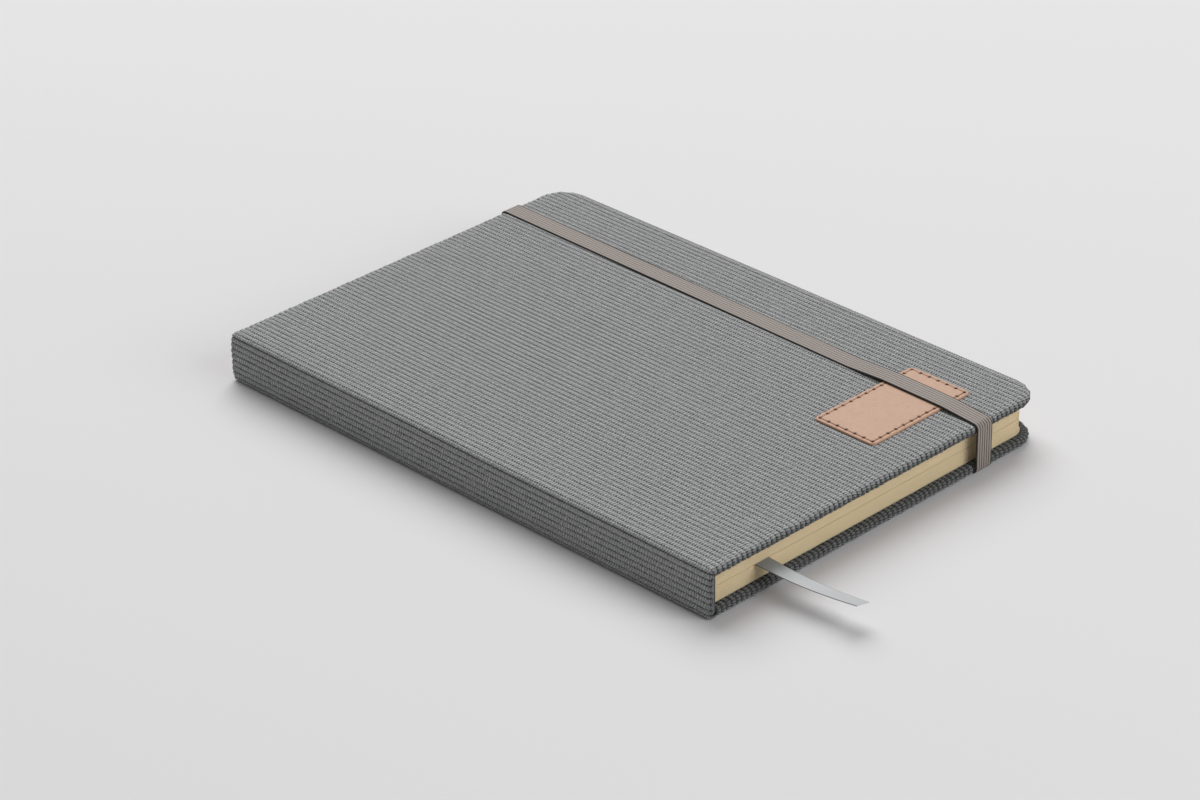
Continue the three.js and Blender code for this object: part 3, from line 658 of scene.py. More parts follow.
class Stage(bpy.types.Operator):
    """Sets up the camera, the soft light and the pale floor"""

    bl_idname = "notebook.stage"
    bl_label = "Stage"

    # The camera was fitted to the notebook's outline in the photograph
    AZIMUTH = math.radians(-44.519)
    ELEVATION = math.radians(28.859)
    ROLL = math.radians(-0.945)
    DISTANCE = 1210.593 * MM
    LENS = 116.772
    SENSOR_WIDTH = 36
    NEAREST = 0.01
    AIM = Vector((-4.0 * MM, 0, 8 * MM))
    AIM_RIGHT = -6.508 * MM
    AIM_UP = -3.016 * MM
    FLOOR_SIZE = 6.0
    KEY_PLACE = Vector((1.1, 1.7, 2.3))
    KEY_SIZE = 3.0
    FILL_PLACE = Vector((0.45, -1.8, 1.0))
    FILL_SIZE = 1.8

    def add_camera(self):
        """Places the camera at the photograph's angle."""
        az, el = self.AZIMUTH, self.ELEVATION
        back = Vector((math.sin(az) * math.cos(el), -math.cos(az) * math.cos(el), math.sin(el)))
        level = Vector((math.cos(az), math.sin(az), 0))
        upright = back.cross(level)
        right = math.cos(self.ROLL) * level + math.sin(self.ROLL) * upright
        up = -math.sin(self.ROLL) * level + math.cos(self.ROLL) * upright
        place = self.AIM + right * self.AIM_RIGHT + up * self.AIM_UP + back * self.DISTANCE
        bpy.ops.object.camera_add()
        camera = bpy.context.object
        camera.name = "camera"
        camera.data.lens = self.LENS
        camera.data.sensor_width = self.SENSOR_WIDTH
        camera.data.clip_start = self.NEAREST
        turned = Matrix((right, up, back)).transposed().to_4x4()
        camera.matrix_world = Matrix.Translation(place) @ turned
        bpy.context.scene.camera = camera

    def add_lamp(self, name, place, size, power):
        """A round soft lamp that looks at the notebook."""
        bpy.ops.object.light_add(type="AREA", location=place)
        lamp = bpy.context.object
        lamp.name = name
        lamp.data.shape = "DISK"
        lamp.data.size = size
        lamp.data.energy = power
        lamp.rotation_euler = (-place).to_track_quat("-Z", "Y").to_euler()

    def add_light(self, settings):
        """A plain white sky, a large soft lamp beyond the head and a weaker one beyond the tail."""
        world = bpy.data.worlds.new("soft_sky")
        world.use_nodes = True
        background = world.node_tree.nodes["Background"]
        background.inputs["Color"].default_value = (1, 1, 1, 1)
        background.inputs["Strength"].default_value = settings.sky
        bpy.context.scene.world = world
        self.add_lamp("key_lamp", self.KEY_PLACE, self.KEY_SIZE, settings.key)
        self.add_lamp("fill_lamp", self.FILL_PLACE, self.FILL_SIZE, settings.fill)

    def floor_material(self, settings):
        """Matt wall paint: one pale colour, with no more gloss than the roller leaves."""
        material, add = new_material("matt_floor_paint")
        look = {"Base Color": settings.floor, "Roughness": 0.9, "Specular IOR Level": 0.1}
        add("OutputMaterial", {"Surface": add("BsdfPrincipled", look)}, None)
        return material

    def execute(self, context):
        settings = context.scene.notebook_stage
        bpy.ops.object.select_all(action="DESELECT")
        context.scene.view_settings.view_transform = "Standard"
        self.add_camera()
        self.add_light(settings)
        bpy.ops.mesh.primitive_plane_add(size=self.FLOOR_SIZE, location=(0, 0, 0))
        floor = name_piece("floor")
        give_material(floor, self.floor_material(settings))
        return {"FINISHED"}


def eased(share):
    """A share, held between 0 and 1 and eased at both."""
    share = np.clip(share, 0, 1)
    return share * share * (3 - 2 * share)


def lengths_along(points):
    """How far along a line each of its points is."""
    return np.concatenate([[0], np.cumsum(np.linalg.norm(np.diff(points, axis=0), axis=1))])


def directions(points):
    """The direction of a line at each of its points."""
    ahead = np.gradient(points, axis=0)
    return ahead / np.linalg.norm(ahead, axis=1)[:, None]


def smooth_route(points, count):
    """A smooth line through points, as count places evenly far apart."""
    points = np.array(points, float)
    fine = []
    for i in range(len(points) - 1):
        before = points[max(i - 1, 0)]
        after = points[min(i + 2, len(points) - 1)]
        for t in np.linspace(0, 1, 8, endpoint=False):
            a = 2 * points[i]
            b = points[i + 1] - before
            c = 2 * before - 5 * points[i] + 4 * points[i + 1] - after
            d = 3 * points[i] - before - 3 * points[i + 1] + after
            fine.append((a + b * t + c * t**2 + d * t**3) / 2)
    fine = np.array([*fine, points[-1]])
    lengths = lengths_along(fine)
    even = np.linspace(0, lengths[-1], count)
    return np.stack([np.interp(even, lengths, fine[:, k]) for k in range(3)], axis=1)


class Ribbon(bpy.types.Operator):
    """Makes the ribbon marker: the length between the pages and the free end"""

    bl_idname = "notebook.ribbon"
    bl_label = "Ribbon marker"

    EXIT = Vector((-49.1 * MM, -102.0 * MM, 8.337 * MM))
    HELD_HEAD = Vector((-67.8 * MM, 101.7 * MM, 8.337 * MM))
    # The free end's route from its exit, in millimetres, as the CAD model has it
    ROUTE = (
        (0, 0, 0), (0.15, -2, -0.12), (0.32, -4.3, -0.32), (0.52, -6.8, -0.56),
        (0.74, -9.4, -0.78), (0.96, -12, -0.96), (1.18, -14.6, -1.08), (1.4, -17.2, -1.14),
        (1.62, -19.8, -1.16), (1.84, -22.4, -1.13), (2.06, -25, -1.06), (2.28, -27.6, -0.95),
        (2.5, -30.2, -0.81), (2.7, -32.6, -0.65), (2.9, -34.8, -0.49), (3, -35.9, -0.4),
    )
    HELD_ROWS = 60
    FREE_ROWS = 90
    FACES_AROUND = 28
    # The ribbon's body against its woven edges, which are a little thicker
    BODY_SHARE = 0.7
    EDGE_SWELL = 0.5

    def add_strip(self, name, centres, settings, turns):
        """A flat closed strip along centres, turned about its length by an angle at each."""
        rows = len(centres) - 1
        piece, share_around, share_along = add_grid(name, self.FACES_AROUND, rows)
        row = np.rint(share_along * rows).astype(int)
        angle = share_around * math.tau
        # The section is a flat loop, and its points crowd at the two edges
        sideways = np.sign(np.cos(angle)) * np.abs(np.cos(angle)) ** 0.6
        swell = 1 + self.EDGE_SWELL * np.abs(sideways) ** 12
        thick = np.sign(np.sin(angle)) * np.minimum(1, 3.2 * np.abs(np.sin(angle)))
        side = sideways * settings.width / 2
        height = thick * swell * settings.thickness / 2 * self.BODY_SHARE
        ahead = directions(centres)
        across = np.cross(ahead, [0, 0, 1])
        across /= np.linalg.norm(across, axis=1)[:, None]
        up = np.cross(across, ahead)
        turn = turns[row]
        places = centres[row]
        places = places + across[row] * (side * np.cos(turn) - height * np.sin(turn))[:, None]
        places = places + up[row] * (side * np.sin(turn) + height * np.cos(turn))[:, None]
        place_vertices(piece, places)
        length = lengths_along(centres)[-1]
        write_uv(piece, "weave", (sideways + 1) / 2, share_along * length / settings.width)
        finish_solid(piece, 50, open_ends=True)
        return piece

    def execute(self, context):
        settings = context.scene.notebook_ribbon
        satin = satin_material(settings)
        held_line = np.linspace(np.array(self.EXIT), np.array(self.HELD_HEAD), self.HELD_ROWS)
        no_turn = np.zeros(self.HELD_ROWS)
        held = self.add_strip("ribbon_between_pages", held_line, settings, no_turn)
        route = [self.EXIT + Vector(step) * MM for step in self.ROUTE]
        centres = smooth_route(route, self.FREE_ROWS)
        turns = settings.twist * np.linspace(0, 1, self.FREE_ROWS) ** 0.7
        tail = self.add_strip("ribbon_free_end", centres, settings, turns)
        dress_piece(held, satin, "back_cover", "ribbon_held")
        dress_piece(tail, satin, "ribbon", "ribbon_tail")
        return {"FINISHED"}


def case_line(run):
    """Where the outside of the case lies, from a developed length measured at the upper crease.

    Returns x, z, the direction inwards as x and z, and how far the cloth bends in at its ends.
    """
    rise = run - SPINE_MIDDLE
    up = np.sign(rise)
    past_flat = np.abs(rise) - SPINE_FLAT / 2
    angle = np.clip(past_flat / WRAP, 0, math.pi / 2)
    x = HINGE_X - WRAP * np.cos(angle) + np.maximum(past_flat - QUARTER_BEND, 0)
    z = TOP / 2 + up * (np.minimum(np.abs(rise), SPINE_FLAT / 2) + WRAP * np.sin(angle))
    # The spine is thinner than the covers, so its ends are rounded more tightly
    bend = WRAP - (WRAP - SPINE_WRAP) * eased(-past_flat / (2 * MM))
    return x, z, np.cos(angle), -up * np.sin(angle), bend


def wander(wale, along, settings):
    """How far a wale strays across, in wales, at a place along it: a long wave and a short one."""
    wave = np.sin(along / (31 * MM) + wale * 0.21) + 0.6 * np.sin(along / (13 * MM) - wale * 0.37)
    return settings.meander * wave / settings.wale_pitch / 1.6


def scattered(seed):
    """A number from 0 to 1 for each seed, with no order that shows."""
    return np.mod(np.sin(seed) * 43758.5453, 1)


def tuft_count(wale, along, settings):
    """Tufts counted along a wale. They start at another place on each wale, and lie aslant."""
    number = np.floor(wale)
    start = np.floor(4 * scattered(number * WALE_SEED)) / 4
    return along / settings.tuft_pitch + start + settings.slant * (wale - number - 0.5)


def pile_depth(wale, along, tufts, settings):
    """How far the pile lies below its crest.

    tufts scales the tufting, from 0 where there are few rows to 1. From 1 to 2, which is at an
    edge, the tufting stays and the wales grow rounder.
    """
    count = tuft_count(wale, along, settings)
    beat = np.abs(np.sin(np.pi * count))
    uneven = scattered(np.floor(count) * TUFT_SEED + np.floor(wale) * WALE_SEED)
    roundness = np.clip(tufts - 1, 0, 1)
    sharpness = FLAT_SHARPNESS + (EDGE_SHARPNESS - FLAT_SHARPNESS) * roundness
    groove = np.abs(np.cos(np.pi * wale)) ** sharpness
    tufts = np.minimum(tufts, 1)
    depth = settings.groove_depth * groove
    # The pile parts less in a groove, which is down at its foot already
    depth += settings.tuft_depth * tufts * (1 - beat) * (1 - 0.5 * groove)
    depth += settings.unevenness * tufts * uneven * beat
    for crease in (CREASE_WALE, LOWER_CREASE_WALE):
        near = np.clip(1 - np.abs(wale - crease) * CREASE_SHARPNESS, 0, 1)
        depth += (settings.crease_depth - settings.groove_depth) * near**2
    return depth


def mirrored_rows(straight, reach, inner_step, outer_step):
    """Places of a sheet's rows from tail to head: sparse in the middle, close near both ends."""
    inner = np.linspace(0, straight, round(straight / inner_step) + 1)
    outer = np.linspace(straight, reach, round((reach - straight) / outer_step) + 1)
    half = np.concatenate([inner[:-1], outer])
    return np.concatenate([-half[:0:-1], half])


def sheet_of_cloth(name, wales, rows):
    """A grid with a fixed number of columns to a wale. Returns it with each vertex's wale and row."""
    first, last = wales
    columns = round((last - first) * COLUMNS_PER_WALE)
    piece, share_across, share_along = add_grid(name, columns, len(rows) - 1)
    wale = first + np.rint(share_across * columns) / COLUMNS_PER_WALE
    # Columns crowd at the grooves, which are at whole wales
    wale -= COLUMN_CROWDING * np.sin(math.tau * wale) / math.tau
    return piece, wale, rows[np.rint(share_along * (len(rows) - 1)).astype(int)]


def lay_cloth(piece, places, wale, along, settings):
    """Moves a sheet's vertices to their places, and counts its wales and tufts for the pile."""
    place_vertices(piece, places)
    write_uv(piece, "wales", wale, tuft_count(wale, along, settings))


def declare_cloth(piece, context):
    """Gives a piece of corduroy, glued over a board, the corduroy material."""
    give_material(piece, context.scene.notebook_corduroy)


def band_middle(y, elastic):
    """Where the elastic's middle is over the cover: its x at a y."""
    tail_x = FORE_EDGE - elastic.tail_inset
    head_x = FORE_EDGE - elastic.head_inset
    return tail_x + (head_x - tail_x) * (y + HEAD_EDGE) / (2 * HEAD_EDGE)


class CoverCloth(bpy.types.Operator):
    """Wraps corduroy over the two covers and turns it in over their edges"""

    bl_idname = "notebook.cover_cloth"
    bl_label = "Cover cloth"

    INNER_STEP = 3.4 * MM
    TUFTS_BEGIN_OVER = 0.8 * MM
    BEND_OPENING = 0.4
    # How deep the pile can be pressed: over a board's edge, and where it is folded in
    BOARD_DEPTH = 0.82 * MM
    TURN_IN_DEPTH = 0.5 * MM
    CORNER_CUT = 1.2 * MM
    # The elastic crushes the back cover's pile from its slits to part of the way round the edge
    STRAP_DEPTH = 0.66 * MM
    STRAP_CLEAR = 0.1 * MM
    STRAP_SLOPE = 0.7 * MM
    SLIT_INSET = 20.8 * MM
    SLIT_SLOPE = 0.6 * MM
    STRAP_BEND_SHARE = 0.62

    def over_board(self, x, y, settings):
        """Bends a flat point of the cover's cloth round the cover's edge.

        Returns x, y, the depth below the outer face, the outward normal as three numbers with z
        up out of the face, and the developed distance past the start of the bend.
        """
        corner = settings.corner - WRAP
        past_x = np.maximum(x - (FORE_EDGE - WRAP - corner), 0)
        past_y = np.maximum(np.abs(y) - (BEND_START - corner), 0)
        radius = np.hypot(past_x, past_y)
        distance = np.maximum(radius - corner, 0)
        # Outwards is along x at the fore edge, along y at head and tail, and between them at a corner
        out_x = past_x / np.maximum(radius, SEAM)
        out_y = np.sign(y) * past_y / np.maximum(radius, SEAM)
        kept = np.minimum(distance, HALF_BEND + settings.turn_in)
        angle = np.minimum(kept / WRAP, math.pi)
        inward = np.maximum(kept - HALF_BEND, 0)
        shift = WRAP * np.sin(angle) - inward - distance
        depth = WRAP * (1 - np.cos(angle))
        normal = [out_x * np.sin(angle), out_y * np.sin(angle), np.cos(angle)]
        return x + out_x * shift, y + out_y * shift, depth, np.stack(normal, axis=1), distance

    def strap_dent(self, x, y, distance, elastic):
        """How much of the cloth the elastic's fixed end crushes: 1 under it, 0 beside it."""
        beside = np.abs(x - band_middle(y, elastic)) - elastic.width / 2 - self.STRAP_CLEAR
        past_slit = np.abs(y) - (HEAD_EDGE - self.SLIT_INSET)
        along = np.clip(past_slit / self.SLIT_SLOPE, 0, 1)
        under = 1 - np.clip(distance / (HALF_BEND * self.STRAP_BEND_SHARE), 0, 1)
        return eased(1 - beside / self.STRAP_SLOPE) * along * under

    def make_cover(self, name, wales, outer_z, up, context):
        """One cover's cloth. up is 1 for the front cover and -1 for the back one."""
        settings = context.scene.notebook_cloth
        straight = BEND_START - WRAP
        reach = BEND_START + HALF_BEND + settings.turn_in
        outer_step = settings.tuft_pitch / ROWS_PER_TUFT
        rows = mirrored_rows(straight, reach, self.INNER_STEP, outer_step)
        piece, wale, along = sheet_of_cloth(name, wales, rows)
        run = (wale + wander(wale, along, settings)) * settings.wale_pitch
        x, y, depth, normal, distance = self.over_board(case_line(run)[0], along, settings)
        across_wales = normal[:, 1] ** 2
        tufts = np.clip((np.abs(along) - straight) / self.TUFTS_BEGIN_OVER, 0, 1)
        pile = pile_depth(wale, along, tufts * (1 + across_wales), settings)
        # Bent across its wales, the cloth opens; folded in, it has only the turn-in's thickness
        pile *= 1 + self.BEND_OPENING * across_wales
        angle = np.minimum(distance / WRAP, math.pi)
        folded = np.clip((angle - math.pi / 2) / (math.pi / 3), 0, 1)
        deepest = self.BOARD_DEPTH + (self.TURN_IN_DEPTH - self.BOARD_DEPTH) * folded
        pile = np.minimum(pile, deepest)
        if up < 0:
            dent = self.strap_dent(x, y, distance, context.scene.notebook_elastic)
            pile = np.maximum(pile, dent * self.STRAP_DEPTH)
        places = np.stack([x, y, outer_z - up * depth], axis=1)
        places -= normal * np.array([1, 1, up]) * pile[:, None]
        lay_cloth(piece, places, wale, along, settings)
        # The pile's opening round the edge, which the material also darkens as painted shade
        write_attribute(piece, "opened_and_shaded", OPENING_AND_SHADE * np.clip(angle / (math.pi / 2), 0, 1) ** 2)
        self.trim_corners(piece, distance > HALF_BEND + settings.turn_in + self.CORNER_CUT)
        finish_sheet(piece, up < 0)
        return piece

    def trim_corners(self, piece, cut_off):
        """Cuts off the cloth past the turn-in, where a square cut is folded in at a round corner."""
        select_only(piece)
        bpy.ops.object.mode_set(mode="EDIT")
        bpy.ops.mesh.select_mode(type="VERT")
        bpy.ops.mesh.select_all(action="DESELECT")
        bpy.ops.object.mode_set(mode="OBJECT")
        piece.data.vertices.foreach_set("select", cut_off)
        bpy.ops.object.mode_set(mode="EDIT")
        bpy.ops.mesh.delete(type="VERT")
        bpy.ops.object.mode_set(mode="OBJECT")

    def execute(self, context):
        settings = context.scene.notebook_cloth
        columns = COLUMNS_PER_WALE
        reach = HALF_BEND + settings.turn_in
        # From the middle of the spine to a cover cloth's far end, over or under
        half_run = SPINE_FLAT / 2 + QUARTER_BEND + FORE_EDGE - WRAP - HINGE_X + reach
        last = math.floor((SPINE_MIDDLE + half_run) / settings.wale_pitch * columns) / columns
        first = math.ceil((SPINE_MIDDLE - half_run) / settings.wale_pitch * columns) / columns
        for side, wales, outer_z, up in (
            ("front", (FRONT_FIRST_WALE, last), TOP, 1),
            ("back", (first, BACK_FIRST_WALE), 0.0, -1),
        ):
            piece = self.make_cover(f"{side}_cover_corduroy", wales, outer_z, up, context)
            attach(piece, f"{side}_cover")
            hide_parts(f"{side}_cloth")
            declare_cloth(piece, context)
        return {"FINISHED"}


class SpineCloth(bpy.types.Operator):
    """Wraps corduroy over the spine and its two hinges, and turns it in at head and tail"""

    bl_idname = "notebook.spine_cloth"
    bl_label = "Spine cloth"

    UPPER_WALES = (SPINE_SPLIT_WALE, FRONT_FIRST_WALE)
    LOWER_WALES = (BACK_FIRST_WALE, SPINE_SPLIT_WALE)
    TURN_IN_WALES = (LOWER_CREASE_WALE + 0.5, CREASE_WALE - 0.5)
    REACH = BEND_START + QUARTER_BEND
    STRIP_ROUND = 0.25 * MM
    # The pile is no deeper than this share of a bend, and is pressed flat soon after it
    DEEPEST_SHARE = 0.8
    PRESSED_OVER = 0.45 * MM
    PRESSED_DEPTH = 0.1 * MM
    FLATTENED = 0.9
    # Across a hinge, the spine's cloth lies before the first point, the cover's after the other
    SPINE_BLEND = 15.45 * MM
    COVER_BLEND = 16.8 * MM

    def make_half(self, name, wales, settings):
        """Half of the spine with the hinge beside it, bent to its ends' outermost line."""
        step = settings.tuft_pitch / ROWS_PER_TUFT
        rows = mirrored_rows(BEND_START, self.REACH, step, step)
        piece, wale, along = sheet_of_cloth(name, wales, rows)
        run = (wale + wander(wale, along, settings)) * settings.wale_pitch
        x, z, inward_x, inward_z, bend = case_line(run)
        # The rows are laid for the covers' bend, and a tighter one takes less of them
        angle = np.clip((np.abs(along) - BEND_START) / QUARTER_BEND, 0, 1) * math.pi / 2
        sine, cosine = np.sin(angle), np.cos(angle)
        side = np.sign(along)
        straight = np.minimum(np.abs(along), BEND_START) / BEND_START
        y = side * (straight * (HEAD_EDGE - bend) + bend * sine)
        depth = bend * (1 - cosine)
        normal = np.stack([-inward_x * cosine, side * sine, -inward_z * cosine], axis=1)
        pile = pile_depth(wale, along, 1 + sine, settings)
        pile = np.minimum(pile, self.DEEPEST_SHARE * bend)
        places = np.stack([x + inward_x * depth, y, z + inward_z * depth], axis=1)
        lay_cloth(piece, places - normal * pile[:, None], wale, along, settings)
        # The pile's opening round the bend, which the material also darkens as painted shade
        write_attribute(piece, "opened_and_shaded", OPENING_AND_SHADE * sine**2)
        finish_sheet(piece, False)
        return piece

    def make_turn_in(self, name, side, settings):
        """The cloth that ends the spine: a smooth flat strip, then folded in, its pile crushed."""
        flat = SPINE_THICKNESS - SPINE_WRAP - self.STRIP_ROUND
        fold = self.STRIP_ROUND * math.pi / 2
        strip = np.linspace(0, flat, 9)
        bent = np.linspace(flat, flat + fold, 5)[1:]
        inner = np.linspace(flat + fold, settings.spine_turn_in, 12)[1:]
        rows = np.concatenate([strip, bent, inner])
        piece, wale, past = sheet_of_cloth(name, self.TURN_IN_WALES, rows)
        strayed = wale + wander(wale, np.full_like(wale, side * self.REACH), settings)
        x, z, _, _, bend = case_line(strayed * settings.wale_pitch)
        angle = np.clip((past - flat) / self.STRIP_ROUND, 0, math.pi / 2)
        inside = np.maximum(past - flat - fold, 0)
        start = bend + (flat + SPINE_WRAP - bend) * np.minimum(past, flat) / flat
        depth = start + self.STRIP_ROUND * np.sin(angle)
        pressed = eased(past / self.PRESSED_OVER)
        along = side * (self.REACH + past)
        pile = pile_depth(wale, along, np.ones_like(wale), settings)
        pile = np.minimum(pile, self.DEEPEST_SHARE * bend) * (1 - self.FLATTENED * pressed)
        pile += self.PRESSED_DEPTH * pressed
        x = x + depth - pile * np.sin(angle)
        end = HEAD_EDGE - self.STRIP_ROUND * (1 - np.cos(angle)) - inside
        places = np.stack([x, side * (end - pile * np.cos(angle)), z], axis=1)
        lay_cloth(piece, places, wale, along, settings)
        # Pressed pile, which the material also darkens as painted shade
        write_attribute(piece, "crush_and_shade", pressed)
        finish_sheet(piece, side < 0)
        return piece

    def execute(self, context):
        settings = context.scene.notebook_cloth
        upper = self.make_half("upper_spine_corduroy", self.UPPER_WALES, settings)
        lower = self.make_half("lower_spine_corduroy", self.LOWER_WALES, settings)
        tail = self.make_turn_in("spine_turn_in_tail", -1, settings)
        head = self.make_turn_in("spine_turn_in_head", 1, settings)
        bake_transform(upper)
        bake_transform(lower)
        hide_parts("spine_cloth", "front_hinge_cloth")
        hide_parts("back_hinge_cloth")
        declare_cloth(upper, context)
        declare_cloth(lower, context)
        for piece in (tail, head):
            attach(piece, "spine")
            declare_cloth(piece, context)
        return {"FINISHED"}


class Signatures(bpy.types.Operator):
    """Makes the twelve sewn signatures, eight leaves each, from one that is copied"""

    bl_idname = "notebook.signatures"
    bl_label = "Signatures"

    COUNT = 12
    # How much of the trim each of the eight leaves stands back, as a guillotine leaves them
    TRIM_SHARES = (0.1, 0.7, 0.3, 1.0, 0.0, 0.5, 0.2, 0.8)
    # How far the gap between two leaves lies behind the leaf that is trimmed most
    GAP_INSET = 0.06 * MM
    # Beside the ribbon the two middle signatures swell towards each other
    SWELL = 1.06

    def first_signature(self, low, high, settings):
        """Leaves extruded one on the other, each with its shadow gap and its own trim."""
        foot = Vector((high.x, high.y, low.z))
        piece = add_block("signature_leaves", bpy.ops.mesh.primitive_plane_add, low, foot)
        middle = (low + foot) / 2
        select_where(piece, "VERT", lambda co: co.x > middle.x)
        bpy.ops.mesh.bevel(offset=settings.corner, segments=10, affect="VERTICES")
        leaf = (high.z - low.z) / len(self.TRIM_SHARES)
        gap = min(settings.leaf_gap, 0.6 * leaf)
        inset = 2 * (settings.trim + self.GAP_INSET)
        steps = []
        for share in self.TRIM_SHARES:
            back = 2 * settings.trim * share
            steps += [(0, back), (leaf - gap, back), (0, inset), (gap, inset)]
        # The last leaf has no gap over it
        for rise, back in steps[:-2]:
            self.step(piece, high - low, middle, rise, back)
        bpy.ops.object.mode_set(mode="OBJECT")
        finish_solid(piece, 25)
        return piece

    def step(self, piece, size, centre, rise, back):
        """Extrudes the top face by a rise, and sets its outline back from the trimmed edge."""
        select_top_face(piece)
        bpy.ops.mesh.extrude_region_move(TRANSFORM_OT_translate={"value": (0, 0, rise)})
        bpy.ops.object.mode_set(mode="OBJECT")
        now = np.ptp([vertex.co for vertex in piece.data.vertices if vertex.select], axis=0)
        bpy.ops.object.mode_set(mode="EDIT")
        value = ((size.x - back) / now[0], (size.y - back) / now[1], 1)
        bpy.ops.transform.resize(value=value, center_override=centre)

    def execute(self, context):
        settings = context.scene.notebook_paper
        paper = page_material(settings)
        low, high = node_box("signature_01")
        first = self.first_signature(low, high, settings)
        half = self.COUNT // 2
        numbers = range(1, self.COUNT + 1)
        for number in numbers:
            node = f"signature_{number:02d}"
            piece = first if number == 1 else copy_piece(first)
            piece.name = f"leaves_{number:02d}"
            if number in (half, half + 1):
                outer_face = Matrix.Translation((0, 0, low.z if number == half else high.z))
                swell = Matrix.Diagonal((1, 1, self.SWELL, 1))
                piece.data.transform(outer_face @ swell @ outer_face.inverted())
            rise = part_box(node)[0][2] - low.z
            piece.data.transform(Matrix.Translation((0, 0, rise)))
            give_material(piece, paper)
            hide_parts(node)
        for number in numbers:
            body = "back_cover" if number <= half else "upper_pages"
            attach(bpy.data.objects[f"leaves_{number:02d}"], body)
        return {"FINISHED"}


class InsidePieces(bpy.types.Operator):
    """Makes the greyboards, and gives endpapers, linings and sewing threads their materials"""

    bl_idname = "notebook.inside_pieces"
    bl_label = "Inside pieces"

    # The boards are rounded and kept short, so that the cloth's grooves clear them
    BOARD_CORNER = 9.1 * MM
    BOARD_EDGE = 0.9 * MM
    BOARD_CLEAR = 0.35 * MM
    HINGE_CLEAR = 3.2 * MM
    SPINE_BOARD_EDGE = 0.4 * MM

    def make_board(self, side):
        """The greyboard of the front cover, the back cover or the spine."""
        low, high = node_box(f"{side}_board")
        low.y += self.BOARD_CLEAR
        high.y -= self.BOARD_CLEAR
        if side != "spine":
            low.x += self.HINGE_CLEAR
            high.x -= self.BOARD_CLEAR
        piece = add_block(f"{side}_greyboard", bpy.ops.mesh.primitive_cube_add, low, high)
        if side == "spine":
            select_where(piece, "EDGE", lambda a, b: min(abs(a.y), abs(b.y)) > 0.9 * high.y)
            bpy.ops.mesh.bevel(offset=self.SPINE_BOARD_EDGE, segments=2)
        else:
            select_where(piece, "EDGE", lambda a, b: min(a.x, b.x) > 0 and abs(a.z - b.z) > MM)
            bpy.ops.mesh.bevel(offset=self.BOARD_CORNER, segments=12)
            hinge = low.x + MM
            select_where(
                piece, "EDGE", lambda a, b: abs(a.z - b.z) < 0.01 * MM and max(a.x, b.x) > hinge
            )
            bpy.ops.mesh.bevel(offset=self.BOARD_EDGE, segments=3)
        bpy.ops.object.mode_set(mode="OBJECT")
        finish_solid(piece)
        return piece

    def execute(self, context):
        endpaper = endpaper_material(context.scene.notebook_paper)
        greyboard = greyboard_material()
        crash = crash_material()
        linen = linen_material()
        for name in ("front_pastedown", "back_pastedown", "front_flyleaf", "back_flyleaf"):
            dress_node(name, endpaper)
        for side, body in (("front", "front_cover"), ("back", "back_cover"), ("spine", "spine")):
            dress_piece(self.make_board(side), greyboard, body, f"{side}_board")
        for half in ("lower", "upper"):
            dress_node(f"{half}_spine_lining", crash)
            dress_node(f"{half}_sewing_thread", linen)
        return {"FINISHED"}


def quarter_circle(centre, radius, quarter, count):
    """Points round a quarter of a circle. The first quarter, 0, starts at three o'clock."""
    angle = (quarter + np.linspace(0, 1, count)) * math.pi / 2
    return np.array(centre) + radius * np.stack([np.cos(angle), np.sin(angle)], axis=1)


